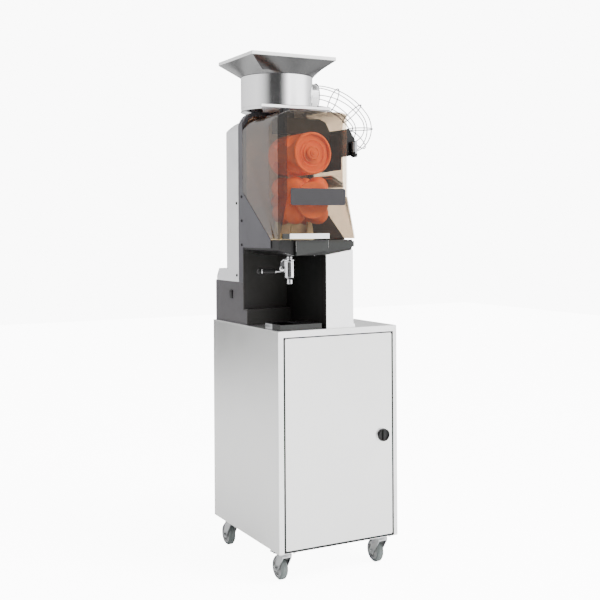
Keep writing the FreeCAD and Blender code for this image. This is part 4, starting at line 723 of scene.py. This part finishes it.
class JUICER_OT_door(Builder, bpy.types.Operator):
    """Cabinet door with its seals, black as painted shadow in the gap, and turn knob."""

    bl_idname = "juicer.door"
    bl_label = "Door"

    def execute(self, context):
        formed("cabinet_door", "cabinet steel", self.sizes().sheet_edge * 1.3)
        formed("lock_knob", "black plastic", self.sizes().small_edge)
        front, back = -268, -254
        # Painted shadow: black seals along the door's left and top edges stand for the shade in the
        # gap.
        shadow_seals = [block("seal", (-205.9, front, 116), (-205, back, 813), 0.0002),
                 block("seal", (-205.8, front, 813), (209, back, 813.9), 0.0002)]
        dress(joined("door_shadow_seals", shadow_seals), "shadow seal rubber", "door")
        lock_x, lock_z = 172, 462
        bezel = ring("lock_bezel", "Y", (lock_x, -270.2, lock_z), 22.6, 1.1)
        dress(bezel, "chrome", "door")
        mark = block("lock_pointer", (lock_x - 0.8, -279.9, lock_z + 8),
                     (lock_x + 0.8, -279.2, lock_z + 18), 0.0002)
        dress(mark, "white plastic", "lock")
        return {"FINISHED"}


class JUICER_OT_casters(Builder, bpy.types.Operator):
    """Four casters with bearings, axle nuts and pedals."""

    bl_idname = "juicer.casters"
    bl_label = "Casters"

    def execute(self, context):
        small = self.sizes().small_edge
        trail, axle_z, race_z = 35, 40, 97.4
        heel_y, heel_z, heel_slope = 46, 29, (0, 0.951, 0.308)
        rib_y, rib_z, rib_pitch, rib_drop, rib_half = 66, 84.6, 5, 1.65, 10
        formed("caster_plates", "zinc", small)
        for corner in CORNERS:
            fork = formed("caster_fork_" + corner, "zinc", small * 1.4)
            formed("caster_wheel_" + corner, "caster core", small)
            carry("caster_tyre_" + corner, "tyre rubber")
            low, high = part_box("caster_tyre_" + corner)
            x, y, _ = ((low + high) / 2 - MIDDLE) / MM
            pivot_y = y - trail
            trim(fork, (x, pivot_y + heel_y, heel_z), heel_slope)
            swivel = "swivel_" + corner
            race = ring("race_" + corner, "Z", (x, pivot_y, race_z), 20.6, 2.2)
            dress(race, "turned steel", swivel)
            nuts = [bolt("nut", "X", (x + side * 21.4, y, axle_z), 7.5, 2.31, side)
                    for side in (-1, 1)]
            dress(joined("axle_nuts_" + corner, nuts), "zinc", swivel)
            for side, word in ((-1, "inner"), (1, "outer")):
                guard = ring("hub_ring_%s_%s" % (word, corner), "X", (x + side * 12.6, y, axle_z),
                             24.5, 0.9)
                dress(guard, "caster core", "wheel_" + corner)
            if corner.startswith("front"):
                formed("brake_pedal_" + corner, "zinc", small * 1.6)
                ribs = []
                for n in range(4):
                    back, top = pivot_y + rib_y + rib_pitch * n, rib_z - rib_drop * n
                    ribs.append(block("rib", (x - rib_half, back, top),
                                      (x + rib_half, back + 2, top + 2.4), 0.0004))
                dress(joined("pedal_ribs_" + corner, ribs), "zinc", "pedal_" + corner)
        return {"FINISHED"}


class JUICER_OT_machine_body(Builder, bpy.types.Operator):
    """Base housing, chassis arch, rear cover, splash wall, vents and panel screws."""

    bl_idname = "juicer.machine_body"
    bl_label = "Machine body"

    def execute(self, context):
        sizes = self.sizes()
        formed("base_housing", "base paint", sizes.moulded_edge * 0.8)
        formed("rear_cover", "rear paint", sizes.moulded_edge * 0.8, angle=40)
        formed("chassis_frame", "chassis paint", sizes.sheet_edge * 1.3, angle=40)
        formed("splash_wall", "splash plastic", sizes.small_edge, angle=40)
        seal_x = -221.2
        # Painted shadow: a black rod along the cover's rear edge stands for the shade of the gap
        # seen through the cover.
        seal = rod_along("cheek_shadow_seal", [(seal_x, 21, 1560), (seal_x, 21, 1306),
                                        (seal_x, -199, 1140)], 0.75, 12)
        dress(seal, "shadow seal rubber", "cabinet")
        left_x, right_x = -222, 66
        head = [(5.0, 0), (4.9, 1.6), (4.3, 2.6), (2.3, 2.95), (2.2, 1.4)]
        heads = []
        for y, z in ((28, 1119), (28, 1204), (28, 1289), (70, 1010), (70, 1267)):
            for side, face in ((-1, left_x), (1, right_x)):
                profile = [(r, h * side) for r, h in head]
                heads.append(lathe("head", "X", (face, y, z), profile, 24))
        screws = joined("panel_screw_heads", heads)
        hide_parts("panel_screws")
        dress(screws, "black plastic", "cabinet")
        for part, look, count, pitch, left, (front, back), (low, high) in (
                ("rear", "rear paint", 20, 10, -178, (160.6, 162.8), (1180, 1300)),
                ("base", "base paint", 8, 9, -20, (263.6, 265.6), (870, 940))):
            slats = [block("slat", (left + pitch * n, front, low),
                           (left + pitch * n + 4, back, high), 0.0006) for n in range(count)]
            dress(joined(part + "_vent_slats", slats), look, "cabinet")
        return {"FINISHED"}


class JUICER_OT_serving_bay(Builder, bpy.types.Operator):
    """Black bay liner and the white peel duct."""

    bl_idname = "juicer.serving_bay"
    bl_label = "Serving bay"

    def execute(self, context):
        shadow_x = -60
        liner = formed("bay_liner", "bay plastic", self.sizes().small_edge)
        # Painted shade: the liner's right part, past shadow_x, is near-black.
        patch(liner, "bay shadow black", lambda place, out: place.x > shadow_x)
        formed("peel_duct", "white plastic", self.sizes().moulded_edge)
        strip = block("bay_strip", (-173, 13.6, 1091), (-100, 15.0, 1099), 0.0005)
        dress(strip, "zinc", "cabinet")
        foot = block("duct_foot", (-45.6, -264.4, 838.2), (60, -262.6, 848), 0.0006)
        dress(foot, "white plastic", "cabinet")
        return {"FINISHED"}


class JUICER_OT_front_cover(Builder, bpy.types.Operator):
    """Smoked front cover with its steel handle, blank plate and catch."""

    bl_idname = "juicer.front_cover"
    bl_label = "Front cover"

    def execute(self, context):
        sizes = self.sizes()
        fold_x, fold_y, across_x, across_y = -207.5, -229, 0.88, -0.47
        shade_right, shade_back, highlight_left, highlight_back, highlight_low = -185, -195, 34, -190, 1283
        cover = formed("front_cover", "smoked plastic", sizes.cover_edge, 2, 18)
        cut(cover, (fold_x, fold_y, 1400), (across_x, across_y, 0))

        def in_shade_band(place, out):
            past = across_x * (place.x - fold_x) + across_y * (place.y - fold_y) > 0
            return past and place.x < shade_right and place.y < shade_back and abs(out.x) > 0.3

        def in_highlight_band(place, out):
            right = place.x > highlight_left and place.y < highlight_back
            return right and place.z > highlight_low and abs(out.x) > 0.5

        # Painted shade: a darker band on the left bevel. Painted highlight: a lighter, clearer band
        # on the right side.
        patch(cover, "cover painted shade band", in_shade_band)
        patch(cover, "cover painted highlight band", in_highlight_band)
        shade_end_x = -190
        handle = formed("cover_handle", "frame painted light steel", sizes.moulded_edge * 0.9, 3)
        # Painted shade: the handle's left end takes the dark pan plastic.
        cut(handle, (shade_end_x, -277, 1150), (1, 0, 0))
        patch(handle, "pan plastic", lambda place, out: place.x < shade_end_x)
        formed("name_plate", "plate plastic", sizes.small_edge)
        formed("cover_catch", "black plastic", sizes.moulded_edge)
        return {"FINISHED"}


class JUICER_OT_drums(Builder, bpy.types.Operator):
    """Cup drum, ball drum, knife and ejector comb."""

    bl_idname = "juicer.drums"
    bl_label = "Drums"

    def execute(self, context):
        small = self.sizes().small_edge
        formed("upper_drum", "drum plastic", self.sizes().moulded_edge * 0.7, 2, 32)
        formed("lower_drum", "drum plastic", small, 2, 32)
        x, face_y, hub_y, nose_y, cap_y = -79, -234.6, -241.4, -244, -246
        for body, z, rims in (("upper", 1429, ((66.5, 4.2), (44, 1.3))),
                              ("lower", 1271, ((40, 1.6),))):
            rings = [ring("ring", "Y", (x, face_y, z), r, thick, 96, 16) for r, thick in rims]
            rings += [ring("ring", "Y", (x, hub_y, z), 20, 2.4),
                      ring("ring", "Y", (x, nose_y, z), 11, 1.2)]
            dress(joined(body + "_drum_rings", rings), "drum plastic", body)
            cap = bolt(body + "_drum_screw", "Y", (x, cap_y, z), 7, 3, -1)
            dress(cap, "drum plastic", body)
        formed("cutting_knife", "satin steel", small)
        formed("ejector_comb", "comb plastic", small)
        return {"FINISHED"}


class JUICER_OT_drive(Builder, bpy.types.Operator):
    """Shafts, gears, bearings and the gear motor behind the chassis web."""

    bl_idname = "juicer.drive"
    bl_label = "Drive"

    def execute(self, context):
        for node in ("upper_shaft", "lower_shaft", "motor_pinion"):
            formed(node, "turned steel", self.sizes().small_edge * 0.5, 1)
        formed("shaft_bearings", "bearing plastic", self.sizes().small_edge)
        formed("gear_motor", "motor paint", self.sizes().small_edge * 1.5)
        return {"FINISHED"}


class JUICER_OT_juice_pan(Builder, bpy.types.Operator):
    """Collector pan and strainer."""

    bl_idname = "juicer.juice_pan"
    bl_label = "Juice pan"

    def execute(self, context):
        shade_end_x = -159.5
        pan = formed("collector_pan", "pan plastic", self.sizes().moulded_edge * 0.6)
        # Painted shade: black plastic on the pan's left end, left of shade_end_x.
        patch(pan, "black plastic", lambda place, out: place.x < shade_end_x)
        formed("strainer", "satin steel", self.sizes().small_edge * 0.4, 1)
        # Painted highlights: thin satin-steel rods stand for the light lines on the pan's front
        # creases.
        highlight_seams = [rod_along("seam", [(x, y, low), (x, y, high)], 0.45, 8)
                 for x, y, low, high in ((-161, -268.1, 1098, 1135), (-31, -255.1, 1108, 1136))]
        dress(joined("pan_highlight_seams", highlight_seams), "satin steel", "cabinet")
        screw = bolt("pan_screw", "Z", (-72, -240, 1086), 6.5, 4, -1)
        dress(screw, "chrome", "cabinet")
        return {"FINISHED"}


class JUICER_OT_tap(Builder, bpy.types.Operator):
    """Chrome tap with its plunger, fork link, lever and black grip."""

    bl_idname = "juicer.tap"
    bl_label = "Tap"

    def execute(self, context):
        small = self.sizes().small_edge
        formed("tap_body", "chrome", small)
        formed("tap_lever", "chrome", small)
        formed("tap_grip", "black plastic", small)
        x, y, turn = -138, -178, -38
        rings = [ring("ring", "Z", (x, y, z), radius, 1.1)
                 for z, radius in ((1064, 20.4), (1012, 18.6), (989.5, 10.6), (1074, 11.4))]
        dress(joined("tap_rings", rings), "chrome", "cabinet")
        waist = [(5, 0), (7.6, 3), (7.6, 24), (6.6, 26), (7.6, 28), (7.6, 58)]
        plunger = lathe("tap_plunger", "Z", (x, y, 1006), waist, 32)
        dress(plunger, "black plastic", "cabinet")
        pin_x, pin_z = x - 25, 1040
        button = [(8.6, 0), (8.6, 1.6), (7.0, 2.2), (3.4, 2.3), (3.2, 3.6)]
        cheeks = [lathe("cheek", "Y", (pin_x, y + side * 8.6, pin_z),
                        [(r, h * side) for r, h in button], 32) for side in (-1, 1)]
        link = [(x - 27, y, 1050), (x - 29, y, 1062), (x - 22, y, 1071), (x - 12, y, 1073)]
        cheeks.append(rod_along("link", link, 2.4))
        cheeks.append(bolt("nut", "Y", (pin_x, y - 10.8, pin_z), 3.2, 2.4, -1))
        cheeks = turned(joined("tap_cheeks", cheeks), (x, y, 0), turn)
        dress(cheeks, "chrome", "cabinet")
        collars = [lathe("collar", "X", (x - along, y, 1030), profile, sides)
                   for along, profile, sides in (
                       (50, [(4.4, 0), (5.6, 1), (5.6, 4), (4.4, 5)], 24),
                       (96.4, [(8.6, 0), (9.0, 0.8), (9.0, 2.2), (8.6, 3)], 32))]
        collars = turned(joined("lever_collars", collars), (x, y, 0), turn)
        dress(collars, "chrome", "lever")
        return {"FINISHED"}


class JUICER_OT_drip_tray(Builder, bpy.types.Operator):
    """Drip tray and its grid."""

    bl_idname = "juicer.drip_tray"
    bl_label = "Drip tray"

    def execute(self, context):
        formed("drip_tray", "pan plastic", self.sizes().moulded_edge * 0.5)
        formed("drip_grid", "grid steel", self.sizes().small_edge)
        strip = block("tray_strip", (-219.5, -204, 839.5), (-218.9, -152, 857), 0.0002)
        dress(strip, "zinc", "tray")
        return {"FINISHED"}


class JUICER_OT_feeder(Builder, bpy.types.Operator):
    """Deck plate, feeder bowl, disc, motor and square hopper."""

    bl_idname = "juicer.feeder"
    bl_label = "Feeder"

    def execute(self, context):
        sizes = self.sizes()
        bowl_x, bowl_y = -93, 4
        deck = formed("deck_plate", "white plastic", sizes.moulded_edge * 0.6)
        corner, slant = (-218, -130, 1596), (-0.883, 0.469, 0)
        trim(deck, corner, slant)
        front_y = -129.4
        # Painted shadow: black rods along the deck's front edge draw its dark outline.
        edges = [rod_along("edging", [(-216, front_y, z), (51, front_y, z)], 0.9, 12)
                 for z in (1590.6, 1601.6)]
        dress(joined("deck_shadow_edging", edges), "shadow seal rubber", "cabinet")
        # The bowl and its seat are a lighter copy of the hopper's steel: painted light.
        seat = lathe("bowl_seat", "Z", (bowl_x, bowl_y, 1590.4),
                     [(126.6, 0), (127.4, 0.8), (127.4, 11.2), (126.6, 11.4)], 96)
        dress(seat, "bowl painted light steel", "cabinet")
        formed("feeder_bowl", "bowl painted light steel", sizes.small_edge)
        formed("feeder_disc", "bearing plastic", sizes.small_edge)
        formed("feeder_motor", "motor paint", sizes.moulded_edge)
        lip_z = 1767
        # Painted shade on the hopper: its outside is darkened steel, and its left faces are
        # darkened less. Its lip is lighter steel as a painted highlight. The joint bead takes the
        # darkened steel too.
        hopper = formed("hopper", "hopper painted shade steel", sizes.small_edge, 2, 24)
        patch(hopper, "hopper side painted shade steel", lambda place, out: out.x < -0.3)
        patch(hopper, "inner steel", lambda place, out: out.z > 0.1)
        patch(hopper, "lip painted highlight steel", lambda place, out: place.z > lip_z)
        # Painted shadow: a black ring under the bowl draws the dark gap between bowl and deck.
        gasket = ring("bowl_shadow_gasket", "Z", (bowl_x, bowl_y, 1590.6), 127.6, 1.0, 96, 10)
        dress(gasket, "shadow seal rubber", "cabinet")
        bead = ring("bowl_joint_bead", "Z", (bowl_x, bowl_y, 1712), 128.4, 1.0, 96, 8)
        dress(bead, "hopper painted shade steel", "cabinet")
        return {"FINISHED"}


class JUICER_OT_chute(Builder, bpy.types.Operator):
    """Wire chute, side infeed with its inner guide, and the latch."""

    bl_idname = "juicer.chute"
    bl_label = "Chute and infeed"

    def execute(self, context):
        small = self.sizes().small_edge
        carry("wire_chute", "wire steel")
        sleeve = lathe("latch_sleeve", "Z", (153, -121, 1446.6),
                       [(10.4, 0), (11.25, 0.8), (11.25, 37), (10.4, 37.8)], 40)
        dress(sleeve, "zinc", "cabinet")
        formed("infeed_box", "black plastic", small * 1.5)
        formed("infeed_guide", "guide plastic", small)
        plate = block("guide_plate", (60.9, -186, 1378), (62.1, -30, 1506), 0.0004)
        dress(plate, "guide plastic", "cabinet")
        formed("latch_knob", "black plastic", small * 1.5)
        return {"FINISHED"}


class JUICER_OT_electrics(Builder, bpy.types.Operator):
    """Rocker switch and mains inlet."""

    bl_idname = "juicer.electrics"
    bl_label = "Electrics"

    def execute(self, context):
        formed("power_switch", "black plastic", self.sizes().small_edge)
        formed("power_inlet", "black plastic", self.sizes().small_edge)
        back, tip = 259, 265.4
        prongs = [block("prong", (x - 2, back, z), (x + 2, tip, z + 5), 0.0004)
                  for x, z in ((-158, 903), (-150, 905), (-142, 903))]
        dress(joined("inlet_prongs", prongs), "satin steel", "cabinet")
        return {"FINISHED"}


class JUICER_OT_stage(Builder, bpy.types.Operator):
    """Pale floor, surround, soft lights and the camera; their places are in metres."""

    bl_idname = "juicer.stage"
    bl_label = "Stage"

    def execute(self, context):
        studio = context.scene.juicer_studio
        self.floor(studio)
        self.surround(studio)
        self.light("key_light", place=(1.7, -3.1, 4.1), aim=(-0.1, -0.2, 1.2), size=(1.8, 1.8),
                   power=studio.key)
        self.light("fill_light", place=(-3.4, -0.6, 2.6), aim=(0, 0, 1.0), size=(2.2, 2.2),
                   power=studio.fill)
        self.flag("cover_flag", place=(1.45, -3.05, 1.42), turn=28, size=(1.1, 1.06), glow=0.6)
        self.flag("side_flag", place=(-2.6, 4.6, 0.45), turn=0, size=(3.2, 0.9), glow=0.0)
        self.camera(studio)
        return {"FINISHED"}

    def plane(self, name, place, turn, size):
        """A flat sheet of the stage."""
        deselect()
        bpy.ops.mesh.primitive_plane_add(size=1)
        sheet = bpy.context.object
        sheet.name = name
        sheet.scale = (*size, 1)
        sheet.rotation_euler = turn
        sheet.location = place
        return settle(sheet)

    def floor(self, studio):
        """A pale floor, as bright as the backdrop where the camera sees it."""
        lamp_light = 2.5
        floor = self.plane("studio_floor", (0, 1.5, 0), (0, 0, 0), (16, 16))
        mix = Mix("studio floor", Roughness=0.55, Specular_IOR_Level=0.2,
                  Emission_Color=(1, 1, 1, 1))
        cloud = mix.group("handling", Scale=0.6, Amount=0.3)
        mix.feed("Base Color", mix.tint((0.93, 0.93, 0.93), (0.9, 0.9, 0.9), cloud))
        rays = add_node(mix.tree, "LightPath")
        mix.feed("Emission Strength", mix.span(rays.outputs["Is Camera Ray"], 0.0,
                                               studio.backdrop - lamp_light))
        floor.data.materials.append(mix.material)

    def flag(self, name, place, turn, size, glow):
        """A dark card, seen only in reflections, as a photographer stands beside shiny metal."""
        card = self.plane(name, place, (math.pi / 2, 0, math.radians(turn)), size)
        card.visible_camera = card.visible_shadow = card.visible_diffuse = False
        mix = Mix(name, Roughness=0.9, Specular_IOR_Level=0.0, Emission_Color=(1, 1, 1, 1),
                  Emission_Strength=glow)
        weave = mix.group("pores", Scale=300.0)
        mix.feed("Base Color", mix.tint((0.02, 0.02, 0.02), (0.03, 0.03, 0.03), weave))
        card.data.materials.append(mix.material)

    def surround(self, studio):
        """White room with broad darker bands, so that metal has something to reflect."""
        world = bpy.data.worlds.new("Studio surround")
        world.use_nodes = True
        tree = world.node_tree
        parts = add_node(tree, "SeparateXYZ")
        wire_up(tree, add_node(tree, "TexCoord").outputs["Generated"], parts.inputs[0])
        angle = combined(tree, "ARCTAN2", parts.outputs["Y"], parts.outputs["X"])
        turns = ranged(tree, angle, From_Min=-math.pi, From_Max=math.pi)
        bands = add_node(tree, "ValToRGB")
        stops = ((0.0, 1.1), (0.05, 0.8), (0.12, 0.04), (0.215, 0.02), (0.25, 0.6), (0.285, 2.6),
                 (0.44, 2.4), (0.50, 1.1), (0.60, 0.7), (0.70, 0.6), (0.80, 0.9), (1.0, 1.1))
        while len(bands.color_ramp.elements) < len(stops):
            bands.color_ramp.elements.new(0.5)
        for element, (where, level) in zip(bands.color_ramp.elements, stops):
            element.position = where
            element.color = (level, level, level * 1.01, 1)
        wire_up(tree, turns, bands.inputs["Fac"])
        back = tree.nodes["Background"]
        back.inputs["Strength"].default_value = studio.sky
        wire_up(tree, bands.outputs["Color"], back.inputs["Color"])
        white = add_node(tree, "Background", Strength=studio.backdrop)
        rays = add_node(tree, "LightPath")
        blend_shaders(tree, rays.outputs["Is Camera Ray"], back, white, "World Output")
        bpy.context.scene.world = world

    def light(self, name, place, aim, size, power):
        """A soft rectangular lamp that shiny metal doesn't mirror."""
        data = bpy.data.lights.new(name, "AREA")
        data.shape = "RECTANGLE"
        data.size, data.size_y = size
        data.energy = power
        lamp = bpy.data.objects.new(name, data)
        lamp.location = place
        lamp.visible_glossy = False
        lamp.rotation_euler = (Vector(aim) - Vector(place)).to_track_quat("-Z", "Y").to_euler()
        bpy.context.scene.collection.objects.link(lamp)

    def camera(self, studio):
        """The photograph's camera: level, turned 28 degrees, its horizon above the middle."""
        yaw, level, roll = (math.radians(angle) for angle in (-27.953, 90, -0.34))
        data = bpy.data.cameras.new("photo_camera")
        data.sensor_width = 36
        data.lens = studio.lens
        data.shift_y = -0.1187
        camera = bpy.data.objects.new("photo_camera", data)
        camera.location = spot(-1691.8, -3180.6, 1174.6)
        turn = (Matrix.Rotation(yaw, 4, "Z") @ Matrix.Rotation(level, 4, "X")
                @ Matrix.Rotation(roll, 4, "Z"))
        camera.rotation_euler = turn.to_euler()
        bpy.context.scene.collection.objects.link(camera)
        bpy.context.scene.camera = camera


class JUICER_PT_panel(bpy.types.Panel):
    """Lists the builders in the sidebar."""

    bl_idname = "JUICER_PT_panel"
    bl_label = "Orange juicer"
    bl_space_type = "VIEW_3D"
    bl_region_type = "UI"
    bl_category = "Juicer"

    def draw(self, context):
        scene = context.scene
        for group in (scene.juicer_sizes, scene.juicer_colours, scene.juicer_studio):
            box = self.layout.box()
            for name in group.bl_rna.properties.keys():
                if name not in ("rna_type", "name"):
                    box.prop(group, name)
        for builder in BUILDERS:
            self.layout.operator(builder.bl_idname)


GROUP_CLASSES = (JuicerSizes, JuicerColours, JuicerStudio)
BUILDERS = (
    JUICER_OT_stage, JUICER_OT_cabinet, JUICER_OT_door, JUICER_OT_casters, JUICER_OT_machine_body,
    JUICER_OT_serving_bay, JUICER_OT_drums, JUICER_OT_drive, JUICER_OT_juice_pan, JUICER_OT_tap,
    JUICER_OT_drip_tray, JUICER_OT_feeder, JUICER_OT_chute, JUICER_OT_electrics,
    JUICER_OT_front_cover,
)


def register():
    for cls in GROUP_CLASSES + BUILDERS + (JUICER_PT_panel,):
        bpy.utils.register_class(cls)
    bpy.types.Scene.juicer_sizes = PointerProperty(type=JuicerSizes)
    bpy.types.Scene.juicer_colours = PointerProperty(type=JuicerColours)
    bpy.types.Scene.juicer_studio = PointerProperty(type=JuicerStudio)


def unregister():
    del bpy.types.Scene.juicer_studio
    del bpy.types.Scene.juicer_colours
    del bpy.types.Scene.juicer_sizes
    for cls in reversed(GROUP_CLASSES + BUILDERS + (JUICER_PT_panel,)):
        bpy.utils.unregister_class(cls)


def main():
    """Build everything."""
    register()
    for builder in BUILDERS:
        section, word = builder.bl_idname.split(".")
        getattr(getattr(bpy.ops, section), word)()


if __name__ == "__main__":
    main()
